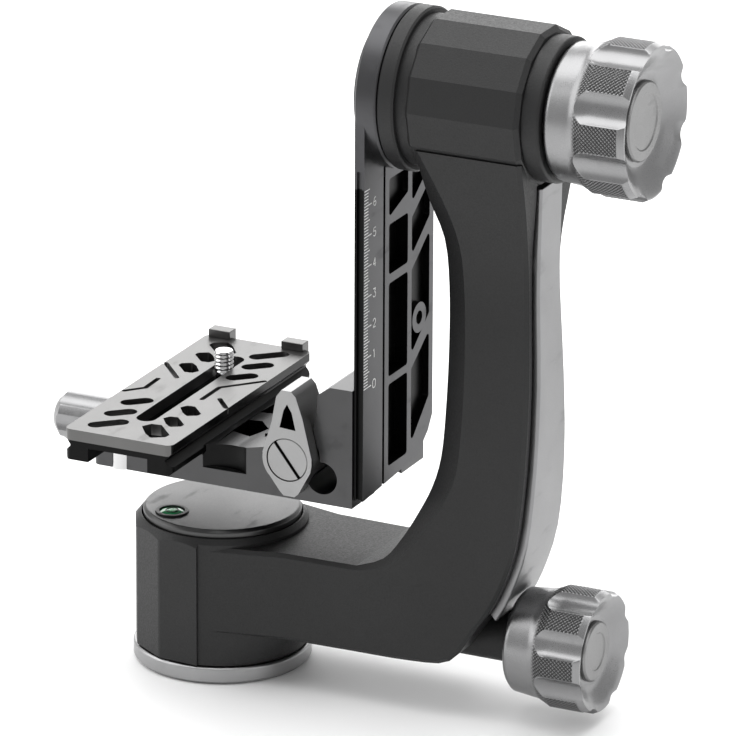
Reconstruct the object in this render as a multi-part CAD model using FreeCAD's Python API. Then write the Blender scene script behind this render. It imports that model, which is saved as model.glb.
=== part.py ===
import FreeCAD, Part
import math
import os

from FreeCAD import Vector

# Gimbal tripod head, in millimetres. +Z is up, the origin is the centre of the foot on the pan axis,
# and +X points from the pan axis to the upright. The tilt axis runs along X.

# Fits
RUN_GAP = 0.05          # radial clearance of a shaft in its bearing
FACE_GAP = 0.3          # gap between faces of pieces that turn against each other
SLIDE_GAP = 0.12        # gap each side of a sliding face
EDGE_BREAK = 0.6        # small broken edge on machined pieces

# Foot and pan spindle
BASE_R = 28.7
BASE_T = 5.8
BASE_CHAMFER = 1.2
SOCKET_R = 4.7625       # 3/8 inch tripod thread
SOCKET_LEN = 10.5
SOCKET_WALL = 3.0
SPINDLE_R = 12.0
SPINDLE_TOP = 38.4
SPINDLE_FLANGE_R = 19.5
SPINDLE_FLANGE_T = 3.0
FOOT_SCREW_COUNT = 4
FOOT_SCREW_PITCH_R = 15.8
FOOT_SCREW_R = 1.5
RETAINER_R = 15.0
RETAINER_T = 2.0

# Drum round the pan spindle
DRUM_BOTTOM = BASE_T + 0.5
DRUM_LIP_Z = 49.0       # inner lip round the cap
DRUM_LIP_R = 26.4
DRUM_SHOULDER_Z = 46.2  # where the sloping shoulder meets the facets
DRUM_R = BASE_R - 0.1   # over the facets' edges
DRUM_EDGE_R = 3.0       # rounding of the facets' upright edges
DRUM_FACETS = 7
FACET_ANGLE = 28.57
DRUM_FIRST_EDGE = -10.0
SKIRT_TOP = 19.0        # the drum's foot has flared out into the beam at this height
SKIRT_REACH = 36.0
SKIRT_HALF = DRUM_R - 1.0
SKIRT_STEPS = 10
PAN_BEARING_R = 17.0
PAN_BEARING_T = 6.0
PAN_BEARING_Z = (BASE_T + SPINDLE_FLANGE_T + FACE_GAP, SPINDLE_TOP - FACE_GAP - PAN_BEARING_T)
CAP_R = 25.4
CAP_TOP = 51.5
CAP_CHAMFER = 1.0
CAP_GROOVE = 0.5        # gap round the cap
CAP_SEAT = 43.6
CAP_SPIGOT_R = 19.6
CAP_SPIGOT_GAP = 0.1
RETAINER_HEAD_R = 4.5
RETAINER_HEAD_T = 2.4
RETAINER_HEX_R = 1.9
RETAINER_HEX_D = 1.4
LEVEL_X = -10.9
LEVEL_Y = -14.0
LEVEL_R = 5.3
VIAL_R = 4.1
LEVEL_DEPTH = 4.2
LEVEL_RIM = 0.5

# Horizontal beam and upright
BEAM_TOP = 46.4
BEAM_UNDERSIDE = 17.2
BEAM_HALF = 20.2
UPRIGHT_HALF = 12.4
UPRIGHT_OUTER_X = 112.2
ARM_EDGE = 1.2
SPINE_PROUD = 2.0
SPINE_DEPTH = 1.0
SPINE_CHANNEL = 1.3

# Head housing on the tilt axis
TILT_Z = 200.75
HOUSING_R = 25.7
HOUSING_FACETS = 14
HOUSING_X0 = 75.5
HOUSING_X1 = 114.0
HOUSING_CHAMFER = 1.4
HOUSING_FLANGE_R = 26.0
HOUSING_FLANGE_X0 = 66.5
HOUSING_FLANGE_X1 = 72.0
HOUSING_NECK_R = 24.0
TILT_SPINDLE_R = 9.0
TILT_BEARING_R = 14.0
TILT_BEARING_T = 7.0
TILT_BEARING_X = (HOUSING_FLANGE_X0 + 1.0, 92.0)
TILT_SPINDLE_END = 104.0
COLLAR_R = 23.0
COLLAR_X1 = 120.0

# Lock knobs
KNOB_FLUTES = 8
KNOB_DISH_LIP = 1.7     # width of the rim round the dished front
DISC_T = 1.6
DISC_INSET = 1.8
DISC_BAND = 3.6         # raised band round the disc
DISC_STEP = 0.3
KNOB_EDGE = 1.0
PAN_KNOB_X = 106.5
PAN_KNOB_LEN = 28.0
PAN_KNOB_BACK_R = 16.8
PAN_KNOB_R = 20.0
PAN_KNOB_BACK_LEN = 9.8 # plain part behind the flutes
PAN_FLUTE_R = 6.6
PAN_FLUTE_D = 2.1
PAN_DISC_R = 11.6
PAN_DISH_D = 4.0
PAN_KNOB_Z = 23.7
PAN_BOSS_R = 8.2
PAN_BOSS_X1 = 104.0
WASHER_R = 5.9
ROD_R = 3.9
SHOE_R = 5.4
SHOE_LEN = 13.0
TILT_KNOB_X = COLLAR_X1 + 0.5
TILT_KNOB_LEN = 28.6
TILT_KNOB_BACK_R = 21.7
TILT_KNOB_R = 25.0
TILT_KNOB_BACK_LEN = 9.4
TILT_FLUTE_R = 7.2
TILT_FLUTE_D = 2.7
TILT_DISC_R = 14.6
TILT_DISH_D = 5.0
STUD_R = 4.0
BRAKE_DISC_R = 10.5
BRAKE_DISC_T = 3.0
BRAKE_DISC_X = TILT_SPINDLE_END + FACE_GAP

# Swing arm
SWING_FRONT_X = 62.2
SWING_T = 3.3
SWING_BACK_X = SWING_FRONT_X - SWING_T
HEAD_FACE_X = SWING_FRONT_X + 3.9
SWING_HALF = 25.1
SWING_BOTTOM = 70.7
SWING_HEAD_R = 26.0
RULE_INNER_Y = -11.4
RAIL_TOP = 171.0
RAIL_DEPTH = 5.0
RAIL_HALF_ROOT = 9.5
RAIL_HALF_TIP = 12.5
POCKET_DEPTH = 2.3
SMALL_BOSS_R = 5.0      # small drilled boss between the slanted ribs
SMALL_BOSS_Y = 15.0
SMALL_BOSS_Z = 119.5
SMALL_HOLE_R = 2.2
HEAD_CAP_R = 21.5
HEAD_CAP_T = 2.6
HEAD_CAP_FLAT = 13.0
HEAD_BOLT_R = 1.5
HEAD_BOLT_PITCH_R = 14.5

# Quick-release plate and clamp
PLATE_X = -12.0
PLATE_W = 38.0
PLATE_Y0 = -49.0
PLATE_Y1 = 50.5
PLATE_TOP = 88.0
PLATE_SLAB_T = 3.6
PLATE_T = 10.2
NECK_INSET = 2.2
NECK_FOOT = 4.6
FLANGE_T = 2.6
PLATE_CORNER_R = 2.4
LUG_U = (5.2, 31.6)     # middles of the two end lugs across the plate
LUG_HALF = 3.9
LUG_T = 2.6
LUG_DROP = 3.0
LUG_UP = 2.6
LUG_LAP = 2.0
FOOT_CHANNEL_W = 21.0
FOOT_CHANNEL_D = 4.6
CHANNEL_ROOF = PLATE_TOP - PLATE_T + FOOT_CHANNEL_D
SCREW_SLOT_W = 6.6
SLOT_V0 = 20.0          # centres of the long slot's round ends, from the plate's front end
SLOT_V1 = 81.0
SCREW_V = 74.0          # where the camera screw stands in it
PLATE_SLOT_W = 5.2
PLATE_SLOT_TURN = 43.0
GROOVE_W = 1.7
GROOVE_D = 1.8

# Places on the plate from its centre, across and along: holes with their size, slots with their length
PLATE_HOLES = ((8.2, -39.3, 1.0), (9.4, -29.3, 0.76), (9.6, -18.0, 0.76))
PLATE_SLOTS = ((-8.4, -39.8, 13.4), (-9.6, -29.2, 10.8), (-9.7, -17.8, 10.8))
PLATE_GROOVES = (
    ((-18.0, -10.6), (-13.3, -5.0), (-13.6, 4.2)),
    ((-18.2, 18.6), (-8.8, 8.0)),
    ((7.8, -6.6), (7.8, 5.6), (18.0, 17.2)),
    ((12.8, -4.0), (18.2, -10.4)),
)

# Platform
PLATFORM_X0 = -33.0
PLATFORM_FRONT = -26.0
PLATFORM_BOTTOM = 68.0
PLATFORM_TOP = 81.0
PLATFORM_BLOCK_X = 46.6
PLATFORM_BLOCK_TOP = 107.2
ROUND_HOLE_R = 5.3
ROUND_HOLE_X = 48.2
ROUND_HOLE_Z = 76.6
PLATFORM_CORNER_R = 2.5
PIN_R = 3.0
PIN_GAP = 0.02
PIN_X = PLATE_X - 11.4
PIN_Y = PLATFORM_FRONT + 1.6
FRONT_FLUTE_R = 13.0    # concave flute in the platform's front
FRONT_FLUTE_X = 14.0
FRONT_FLUTE_Y = PLATFORM_FRONT - 10.4
FRONT_FLUTE_Z = 73.5
TOP_POCKET_D = 7.0

# Pockets in the platform's top, outward from the plate's side
TOP_POCKETS = (
    ((2.0, -10.5), (9.8, -14.0), (12.6, -6.0), (7.0, 0.8), (2.2, 1.0)),
    ((2.0, 8.8), (7.8, 8.8), (3.0, 22.5)),
    ((13.8, -11.0), (17.6, -11.2), (15.6, -15.0)),
)

# Lock lever
LEVER_X = 38.5
LEVER_Z = 82.7
LEVER_FACE_Y = -31.0
LEVER_PLATE_T = 4.6
LEVER_HANDLE_T = 14.5
LEVER_DRUM_R = 8.6
LEVER_DRUM_T = 19.0
LEVER_UP = 23.0
LEVER_DOWN = 12.0
LEVER_HOLE = ((-2.6, 10.6), (3.0, 10.2), (1.6, 16.0), (0.0, 18.6), (-1.2, 16.4))
LEVER_HOLE_D = 7.0
PIVOT_HEAD_R = 7.1
PIVOT_SLOT_W = 1.1
PIVOT_SLOT_D = 0.8
PIVOT_SLOT_TURN = 52.0
PIVOT_R = 2.0
PIVOT_END_Y = -6.0

# Camera screw
SCREW_R = 3.175         # 1/4 inch camera thread
SCREW_Y = PLATE_Y0 + SCREW_V
SCREW_PROUD = 5.6
SCREW_THREAD_D = 0.6
SCREW_HEAD_R = 8.0
SCREW_HEAD_T = 2.6

# Clamp
JAW_X1 = -26.0
CLAMP_KNOB_R = 8.1
CLAMP_KNOB_Z = 72.6
CLAMP_KNOB_X0 = -58.0
CLAMP_STUD_R = 3.0
GUIDE_R = 1.5
GUIDE_Y = (-14.0, 14.0)
GUIDE_REACH = 12.0      # into the platform
JAW_X0 = PLATE_X - PLATE_W / 2 - 2.4
JAW_HALF = 22.2
JAW_DROP = 5.2          # below the plate's top
CLAMP_KNOB_X1 = JAW_X0 - FACE_GAP
CLAMP_KNOB_WEB = 4.0    # solid end in front of the stud
CLAMP_KNOB_FLATS = 6
CLAMP_FLAT_R = 6.2
CLAMP_FLAT_REACH = 13.2

# The arm is swept through its stations: straight ones first, then eased ones round the bend
STRAIGHT_STATION_COUNT = 2
BEND_STEP_COUNT = 3

# Stations down the arm from the drum to the housing: inner middle line, bevel line, outer edge, half width
ARM_STATIONS = [
    ((2, BEAM_TOP), (2, BEAM_TOP - ARM_EDGE), (2, BEAM_UNDERSIDE + ARM_EDGE), DRUM_R - 0.7),
    ((32, BEAM_TOP), (32, BEAM_TOP - ARM_EDGE), (32, BEAM_UNDERSIDE + ARM_EDGE), BEAM_HALF + 0.6),
    ((57, BEAM_TOP), (57, BEAM_TOP - ARM_EDGE), (57, BEAM_UNDERSIDE + ARM_EDGE), BEAM_HALF),
    ((66, 50), (68, 48.2), (76, BEAM_UNDERSIDE + ARM_EDGE + 0.2), 20.0),
    ((71.5, 57), (76, 55.8), (89, 20.6), 19.4),
    ((76.5, 66), (82, 64), (97, 31.5), 18.6),
    ((80.5, 75), (87, 72.5), (104, 43), 17.8),
    ((83, 85), (90.5, 82), (109.6, 60), 17.0),
    ((84, 100), (91.8, 98), (UPRIGHT_OUTER_X - 0.2, 85), 16.0),
    ((84, 120), (91.8, 119), (UPRIGHT_OUTER_X, 112), 14.0),
    ((83.2, 140), (90.8, 140), (UPRIGHT_OUTER_X - 1.0, 140), UPRIGHT_HALF),
    ((82, 156), (89.5, 156), (UPRIGHT_OUTER_X - 1.0, 156), UPRIGHT_HALF + 1.2),
    ((78.5, 170), (86, 171), (UPRIGHT_OUTER_X, 172), UPRIGHT_HALF + 5.6),
    ((77.2, 188), (79, 188), (UPRIGHT_OUTER_X + 0.4, 188), UPRIGHT_HALF + 10.2),
]

# Stations of the spine panel: point on the arm's outer face, outward direction, half width
SPINE_STATIONS = [
    ((101.4, 34.5), -47.0, 12.6),
    ((105.9, 43.4), -38.0, 12.6),
    ((111.0, 60.2), -22.0, 12.2),
    ((113.2, 85.0), -4.0, 11.2),
    ((113.4, 112.0), 1.0, 9.4),
    ((112.3, 140.0), 1.0, 8.2),
    ((112.3, 158.0), -1.0, 8.0),
    ((112.7, 176.6), -2.0, 8.0),
]

X_AXIS = Vector(1, 0, 0)
Y_AXIS = Vector(0, 1, 0)
Z_AXIS = Vector(0, 0, 1)


def rod_x(r, x0, x1, y=0.0, z=0.0):
    """Round bar along X."""
    return Part.makeCylinder(r, x1 - x0, Vector(x0, y, z), X_AXIS)


def rod_y(r, y0, y1, x=0.0, z=0.0):
    """Round bar along Y."""
    return Part.makeCylinder(r, y1 - y0, Vector(x, y0, z), Y_AXIS)


def rod_z(r, z0, z1, x=0.0, y=0.0):
    """Round bar along Z."""
    return Part.makeCylinder(r, z1 - z0, Vector(x, y, z0), Z_AXIS)


def box(x0, x1, y0, y1, z0, z1):
    """Box between two corners."""
    return Part.makeBox(x1 - x0, y1 - y0, z1 - z0, Vector(x0, y0, z0))


def prism(points, direction):
    """Solid swept from a closed outline of points."""
    wire = Part.makePolygon(list(points) + [points[0]])
    return Part.Face(wire).extrude(direction)


def prism_xz(points, y0, y1):
    """Solid with its outline in XZ, from y0 to y1."""
    return prism([Vector(x, y0, z) for x, z in points], Vector(0, y1 - y0, 0))


def prism_yz(points, x0, x1):
    """Solid with its outline in YZ, from x0 to x1."""
    return prism([Vector(x0, y, z) for y, z in points], Vector(x1 - x0, 0, 0))


def prism_xy(points, z0, z1):
    """Solid with its outline in XY, from z0 to z1."""
    return prism([Vector(x, y, z0) for x, y in points], Vector(0, 0, z1 - z0))


def turned_x(profile, y=0.0, z=0.0):
    """Solid of revolution about an axis along X from (x, radius) points."""
    points = [Vector(x, y, z + r) for x, r in profile]
    face = Part.Face(Part.makePolygon(points + [points[0]]))
    return face.revolve(Vector(0, y, z), X_AXIS, 360)


def turned_y(profile, x, z):
    """Solid of revolution about an axis along Y from (y, radius) points."""
    points = [Vector(x, y, z + r) for y, r in profile]
    face = Part.Face(Part.makePolygon(points + [points[0]]))
    return face.revolve(Vector(x, 0, z), Y_AXIS, 360)


def turned_z(profile, x=0.0, y=0.0):
    """Solid of revolution about an axis along Z from (radius, z) points."""
    points = [Vector(x + r, y, z) for r, z in profile]
    face = Part.Face(Part.makePolygon(points + [points[0]]))
    return face.revolve(Vector(x, y, 0), Z_AXIS, 360)


def joined(shapes):
    """One solid from several that overlap."""
    first = shapes[0]
    return first.fuse(shapes[1:]).removeSplitter() if len(shapes) > 1 else first


def edges_where(shape, test):
    """Edges whose middle point passes the test."""
    found = []
    for edge in shape.Edges:
        middle = edge.valueAt((edge.FirstParameter + edge.LastParameter) / 2)
        if test(edge, middle):
            found.append(edge)
    return found


def groove_xy(path, width, z0, z1):
    """Round-ended groove along a line of points, from z0 to z1."""
    pieces = [rod_z(width / 2, z0, z1, x, y) for x, y in path]
    for (xa, ya), (xb, yb) in zip(path, path[1:]):
        bar = box(0, math.hypot(xb - xa, yb - ya), -width / 2, width / 2, z0, z1)
        bar.rotate(Vector(0, 0, 0), Z_AXIS, math.degrees(math.atan2(yb - ya, xb - xa)))
        bar.translate(Vector(xa, ya, 0))
        pieces.append(bar)
    return joined(pieces)


def base_plate():
    """Round foot that stands on the tripod."""
    body = turned_z([(0, 0), (BASE_R - BASE_CHAMFER, 0), (BASE_R, BASE_CHAMFER),
                     (BASE_R, BASE_T - EDGE_BREAK), (BASE_R - EDGE_BREAK, BASE_T), (0, BASE_T)])
    body = body.cut(rod_z(SOCKET_R + SOCKET_WALL, 0, BASE_T))
    for x, y in foot_screw_places():
        body = body.cut(rod_z(FOOT_SCREW_R, 0, BASE_T, x, y))
        body = body.cut(foot_screw_head(x, y))
    return body


def foot_screw_places():
    """Centres of the screws that hold the spindle on the foot."""
    step = 360.0 / FOOT_SCREW_COUNT
    turns = [math.radians(45 + step * n) for n in range(FOOT_SCREW_COUNT)]
    return [(FOOT_SCREW_PITCH_R * math.cos(a), FOOT_SCREW_PITCH_R * math.sin(a)) for a in turns]


def foot_screw_head(x, y):
    """Countersunk head, open downwards."""
    return Part.makeCone(2 * FOOT_SCREW_R, FOOT_SCREW_R, FOOT_SCREW_R, Vector(x, y, 0), Z_AXIS)


def foot_screws():
    """Countersunk screws from below into the spindle's flange."""
    top = BASE_T + SPINDLE_FLANGE_T
    screws = []
    for x, y in foot_screw_places():
        screw = rod_z(FOOT_SCREW_R, 0, top - EDGE_BREAK, x, y).fuse(foot_screw_head(x, y))
        hexagon = [(x + 0.9 * math.cos(math.radians(60 * k)), y + 0.9 * math.sin(math.radians(60 * k)))
                   for k in range(6)]
        screws.append(screw.cut(prism_xy(hexagon, 0, 1.0)))
    return Part.makeCompound(screws)


def tripod_socket():
    """Steel insert with the tripod thread."""
    outer = rod_z(SOCKET_R + SOCKET_WALL, 0, SOCKET_LEN)
    return outer.cut(rod_z(SOCKET_R, 0, SOCKET_LEN))


def pan_spindle():
    """Shaft that the arm turns on, with its flange screwed to the foot."""
    flange_top = BASE_T + SPINDLE_FLANGE_T
    body = turned_z([(0, BASE_T), (SPINDLE_FLANGE_R, BASE_T), (SPINDLE_FLANGE_R, flange_top),
                     (SPINDLE_R, flange_top), (SPINDLE_R, SPINDLE_TOP), (0, SPINDLE_TOP)])
    body = body.cut(rod_z(SOCKET_R + SOCKET_WALL, BASE_T, SOCKET_LEN))
    for x, y in foot_screw_places():
        body = body.cut(rod_z(FOOT_SCREW_R, BASE_T, flange_top - EDGE_BREAK, x, y))
    return body


def pan_retainer():
    """Ring and screw on top of the spindle that keep the arm down."""
    ring = rod_z(RETAINER_R, SPINDLE_TOP, SPINDLE_TOP + RETAINER_T)
    ring_top = SPINDLE_TOP + RETAINER_T
    head = rod_z(RETAINER_HEAD_R, ring_top, ring_top + RETAINER_HEAD_T)
    key = rod_z(RETAINER_HEX_R, ring_top + RETAINER_HEAD_T - RETAINER_HEX_D, ring_top + RETAINER_HEAD_T)
    return ring.fuse(head).cut(key)


def pan_bearing(z0):
    """Bronze ring in the drum that runs on the spindle."""
    return rod_z(PAN_BEARING_R, z0, z0 + PAN_BEARING_T).cut(rod_z(SPINDLE_R + RUN_GAP, z0, z0 + PAN_BEARING_T))


def drum_outline():
    """Plan of the drum: flat facets round the free side, closing towards the beam."""
    points = []
    for k in range(DRUM_FACETS + 1):
        turn = math.radians(DRUM_FIRST_EDGE + FACET_ANGLE * k)
        points.append((-DRUM_R * math.sin(turn), -DRUM_R * math.cos(turn)))
    return points


def drum():
    """Faceted drum with a sloping shoulder up to its lip, before it is bored."""
    body = prism_xy(drum_outline(), DRUM_BOTTOM, DRUM_LIP_Z)
    middle_z = (DRUM_BOTTOM + DRUM_LIP_Z) / 2
    uprights = edges_where(body, lambda e, m: abs(m.z - middle_z) < 1 and m.x < DRUM_EDGE_R)
    body = body.makeFillet(DRUM_EDGE_R, uprights)
    round_side = rod_z(drum_round_r(), DRUM_BOTTOM, DRUM_LIP_Z)
    shoulder = turned_z([(0, DRUM_BOTTOM - 1), (DRUM_R + 1, DRUM_BOTTOM - 1), (DRUM_R + 1, DRUM_SHOULDER_Z),
                         (DRUM_R, DRUM_SHOULDER_Z), (DRUM_LIP_R, DRUM_LIP_Z), (0, DRUM_LIP_Z)])
    return joined([body, round_side]).common(shoulder)


def drum_round_r():
    """Radius of the drum's round side under the beam, touching the facets."""
    return DRUM_R * math.cos(math.radians(FACET_ANGLE / 2))


def drum_skirt():
    """Flare from the drum's round foot up into the sides and underside of the beam."""
    low = []
    high = []
    taper = (SKIRT_HALF - BEAM_HALF) / SKIRT_REACH
    for k in range(-SKIRT_STEPS, SKIRT_STEPS + 1):
        turn = math.pi / 2 * k / SKIRT_STEPS
        along, across = abs(math.cos(turn)), math.sin(turn)
        low.append(Vector(drum_round_r() * along, drum_round_r() * across, DRUM_BOTTOM))
        x = SKIRT_REACH * math.sqrt(along)
        y = (SKIRT_HALF - taper * x) * math.copysign(math.sqrt(abs(across)), across)
        high.append(Vector(x, y, SKIRT_TOP))
    return loft_rings([low, high])


def beam_station(inner, bevel, outer, half):
    """Cross-section of the arm: inner flat, two bevels, two sides and an outer flat."""
    ix, iz = inner
    bx, bz = bevel
    ox, oz = outer
    length = math.hypot(ox - bx, oz - bz)
    ux, uz = (ox - bx) / length, (oz - bz) / length
    depth = math.hypot(bx - ix, bz - iz)
    inner_half = half - min(5.0, max(ARM_EDGE, depth * 0.7))
    fx, fz = ox + ux * ARM_EDGE, oz + uz * ARM_EDGE
    outer_half = half - ARM_EDGE
    ring = [(ix, -inner_half, iz), (bx, -half, bz), (ox, -half, oz), (fx, -outer_half, fz),
            (fx, outer_half, fz), (ox, half, oz), (bx, half, bz), (ix, inner_half, iz)]
    return [Vector(*p) for p in ring]


def eased(a, b, c, d, t):
    """Value between b and c on a smooth curve through four neighbours."""
    return 0.5 * (2 * b + (c - a) * t + (2 * a - 5 * b + 4 * c - d) * t * t + (3 * b - a - 3 * c + d) * t ** 3)


def dense_rings(rings, steps):
    """Rings of points with eased rings added between them."""
    dense = []
    last = len(rings) - 1
    for n in range(last):
        four = [rings[max(n - 1, 0)], rings[n], rings[n + 1], rings[min(n + 2, last)]]
        for k in range(steps):
            t = k / steps
            dense.append([Vector(*[eased(p[i], q[i], r[i], s[i], t) for i in range(3)])
                          for p, q, r, s in zip(*four)])
    return dense + [rings[last]]


def loft_rings(rings):
    """Solid through closed rings of points."""
    return Part.makeLoft([Part.makePolygon(ring + [ring[0]]) for ring in rings], True, True)


def beam_and_upright():
    """Swept body of the L, with crisp lines running its whole length."""
    rings = [beam_station(*station) for station in ARM_STATIONS]
    straight = rings[:STRAIGHT_STATION_COUNT]
    bend = dense_rings(rings[STRAIGHT_STATION_COUNT:], BEND_STEP_COUNT)
    return loft_rings(straight + bend)


def spine_solid(proud, depth, margin, end_margin):
    """Strip along the outside of the arm, wider by a margin for the channel it lies in."""
    rings = []
    last = len(SPINE_STATIONS) - 1
    for n, ((x, z), tilt, half) in enumerate(SPINE_STATIONS):
        nx, nz = math.cos(math.radians(tilt)), math.sin(math.radians(tilt))
        along = {0: -end_margin, last: end_margin}.get(n, 0.0)
        x, z = x - nz * along, z + nx * along
        w = half + margin
        break_edge = min(EDGE_BREAK, proud)
        section = [(-depth, -w), (proud - break_edge, -w), (proud, -w + break_edge),
                   (proud, w - break_edge), (proud - break_edge, w), (-depth, w)]
        rings.append([Vector(x + nx * out, y, z + nz * out) for out, y in section])
    return loft_rings(dense_rings(rings, BEND_STEP_COUNT))


def housing():
    """Faceted barrel of the head, its neck and the round flange facing the swing arm."""
    points = []
    for k in range(HOUSING_FACETS):
        turn = math.radians(360.0 / HOUSING_FACETS * (k + 0.5))
        points.append((HOUSING_R * math.sin(turn), TILT_Z + HOUSING_R * math.cos(turn)))
    barrel = prism_yz(points, HOUSING_X0, HOUSING_X1)
    ends = edges_where(barrel, lambda e, m: abs(m.x - HOUSING_X0) < 0.01 or abs(m.x - HOUSING_X1) < 0.01)
    barrel = barrel.makeChamfer(HOUSING_CHAMFER, ends)
    neck = rod_x(HOUSING_NECK_R, HOUSING_FLANGE_X1 - 1, HOUSING_X0 + 2, 0, TILT_Z)
    flange = turned_x([(HOUSING_FLANGE_X0, 0), (HOUSING_FLANGE_X0, HOUSING_FLANGE_R - EDGE_BREAK),
                       (HOUSING_FLANGE_X0 + EDGE_BREAK, HOUSING_FLANGE_R),
                       (HOUSING_FLANGE_X1 - EDGE_BREAK, HOUSING_FLANGE_R),
                       (HOUSING_FLANGE_X1, HOUSING_FLANGE_R - EDGE_BREAK), (HOUSING_FLANGE_X1, 0)], 0, TILT_Z)
    return joined([barrel, neck, flange])


def gimbal_arm():
    """Drum, beam, upright and head housing cast as one piece."""
    boss = turned_x([(84, 0), (84, PAN_BOSS_R), (PAN_BOSS_X1 - EDGE_BREAK, PAN_BOSS_R),
                     (PAN_BOSS_X1, PAN_BOSS_R - EDGE_BREAK), (PAN_BOSS_X1, 0)], 0, PAN_KNOB_Z)
    body = joined([drum(), drum_skirt(), beam_and_upright(), housing(), boss])
    cuts = [
        rod_z(SPINDLE_FLANGE_R + FACE_GAP, DRUM_BOTTOM, PAN_BEARING_Z[0]),
        rod_z(PAN_BEARING_R, PAN_BEARING_Z[0], PAN_BEARING_Z[0] + PAN_BEARING_T),
        rod_z(SPINDLE_R + 2, PAN_BEARING_Z[0], CAP_SEAT),
        rod_z(PAN_BEARING_R, PAN_BEARING_Z[1], CAP_SEAT),
        rod_z(CAP_SPIGOT_R, SPINDLE_TOP, CAP_SEAT),
        rod_z(CAP_R + CAP_GROOVE, CAP_SEAT, DRUM_LIP_Z + 1),
        rod_x(SHOE_R + RUN_GAP, 0, SPINDLE_R + SHOE_LEN + 3, 0, PAN_KNOB_Z),
        rod_x(ROD_R + RUN_GAP, SPINDLE_R + SHOE_LEN, PAN_BOSS_X1, 0, PAN_KNOB_Z),
        rod_x(TILT_SPINDLE_R + 1.5, HOUSING_FLANGE_X0, HOUSING_X1, 0, TILT_Z),
        rod_x(BRAKE_DISC_R + RUN_GAP, TILT_BEARING_X[1] + TILT_BEARING_T, HOUSING_X1, 0, TILT_Z),
        spine_solid(SPINE_PROUD + 2, SPINE_DEPTH + SLIDE_GAP, SPINE_CHANNEL, SPINE_CHANNEL),
    ]
    cuts += [rod_x(TILT_BEARING_R, x, x + TILT_BEARING_T, 0, TILT_Z) for x in TILT_BEARING_X]
    cuts.append(rod_x(TILT_BEARING_R, HOUSING_FLANGE_X0, TILT_BEARING_X[0], 0, TILT_Z))
    cuts.append(rod_x(TILT_BEARING_R, TILT_BEARING_X[1], HOUSING_X1, 0, TILT_Z))
    return body.cut(cuts)


def spine_panel():
    """Silver strip lying in the channel down the outside of the arm."""
    return spine_solid(SPINE_PROUD, SPINE_DEPTH, 0.0, 0.0)


def base_cap():
    """Lid of the drum with a pocket for the bubble level."""
    foot = SPINDLE_TOP + RETAINER_T + RETAINER_HEAD_T + FACE_GAP
    spigot_r = CAP_SPIGOT_R - CAP_SPIGOT_GAP
    body = turned_z([(0, foot), (spigot_r, foot), (spigot_r, CAP_SEAT), (CAP_R, CAP_SEAT),
                     (CAP_R, CAP_TOP - CAP_CHAMFER), (CAP_R - CAP_CHAMFER, CAP_TOP), (0, CAP_TOP)])
    return body.cut(rod_z(LEVEL_R, CAP_TOP - LEVEL_DEPTH, CAP_TOP, LEVEL_X, LEVEL_Y))


def level_housing():
    """Black cup of the bubble level."""
    floor = CAP_TOP - LEVEL_DEPTH
    cup = rod_z(LEVEL_R, floor, CAP_TOP + LEVEL_RIM, LEVEL_X, LEVEL_Y)
    return cup.cut(rod_z(VIAL_R, floor + 0.8, CAP_TOP + LEVEL_RIM, LEVEL_X, LEVEL_Y))


def level_vial():
    """Green vial with a low crowned top."""
    floor = CAP_TOP - LEVEL_DEPTH + 0.8
    crown = CAP_TOP + LEVEL_RIM
    profile = [(0, floor), (VIAL_R, floor), (VIAL_R, crown - 0.5), (VIAL_R * 0.6, crown - 0.12), (0, crown)]
    return turned_z(profile, LEVEL_X, LEVEL_Y)


def tilt_bearing(x0):
    """Bronze ring in the housing that runs on the tilt spindle."""
    x1 = x0 + TILT_BEARING_T
    return rod_x(TILT_BEARING_R, x0, x1, 0, TILT_Z).cut(rod_x(TILT_SPINDLE_R + RUN_GAP, x0, x1, 0, TILT_Z))


def tilt_collar():
    """Black threaded cover of the housing that the tilt knob's stud runs through."""
    body = turned_x([(HOUSING_X1 - 4, 0), (HOUSING_X1 - 4, TILT_BEARING_R), (HOUSING_X1, TILT_BEARING_R),
                     (HOUSING_X1, COLLAR_R), (COLLAR_X1 - EDGE_BREAK, COLLAR_R),
                     (COLLAR_X1, COLLAR_R - EDGE_BREAK), (COLLAR_X1, 0)], 0, TILT_Z)
    return body.cut(rod_x(STUD_R + RUN_GAP, HOUSING_X1 - 4, COLLAR_X1, 0, TILT_Z))


def fluted_knob(x0, length, radii, back_len, flute, dish, z, bore_r):
    """Knob that swells forward, with flutes that run out into its plain back and a dished front."""
    back_r, front_r = radii
    flute_r, flute_d = flute
    disc_r, dish_d = dish
    front = x0 + length
    body = turned_x([(x0, 0), (x0, back_r - KNOB_EDGE), (x0 + KNOB_EDGE, back_r),
                     (x0 + back_len, back_r + KNOB_EDGE), (x0 + back_len * 1.5, front_r),
                     (front - KNOB_EDGE * 2, front_r), (front, front_r - KNOB_EDGE),
                     (front, front_r - KNOB_DISH_LIP), (front - dish_d, disc_r), (front - dish_d, 0)], 0, z)
    reach = front_r - flute_d + flute_r
    for k in range(KNOB_FLUTES):
        turn = math.radians(360.0 / KNOB_FLUTES * (k + 0.5))
        y, dz = reach * math.sin(turn), reach * math.cos(turn)
        body = body.cut(rod_x(flute_r, x0 + back_len, front + 1, y, z + dz))
    return body.cut(rod_x(bore_r, x0, front, 0, z))


def knob_disc(front, disc_r, dish_d, z):
    """Turned disc screwed to the floor of the knob's dished front."""
    seat = front - dish_d
    face = seat + DISC_T
    disc_r = disc_r - DISC_INSET
    return turned_x([(seat, 0), (seat, disc_r), (face - EDGE_BREAK, disc_r), (face, disc_r - EDGE_BREAK),
                     (face, disc_r - DISC_BAND), (face - DISC_STEP, disc_r - DISC_BAND - DISC_STEP),
                     (face - DISC_STEP, 0)], 0, z)


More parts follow.
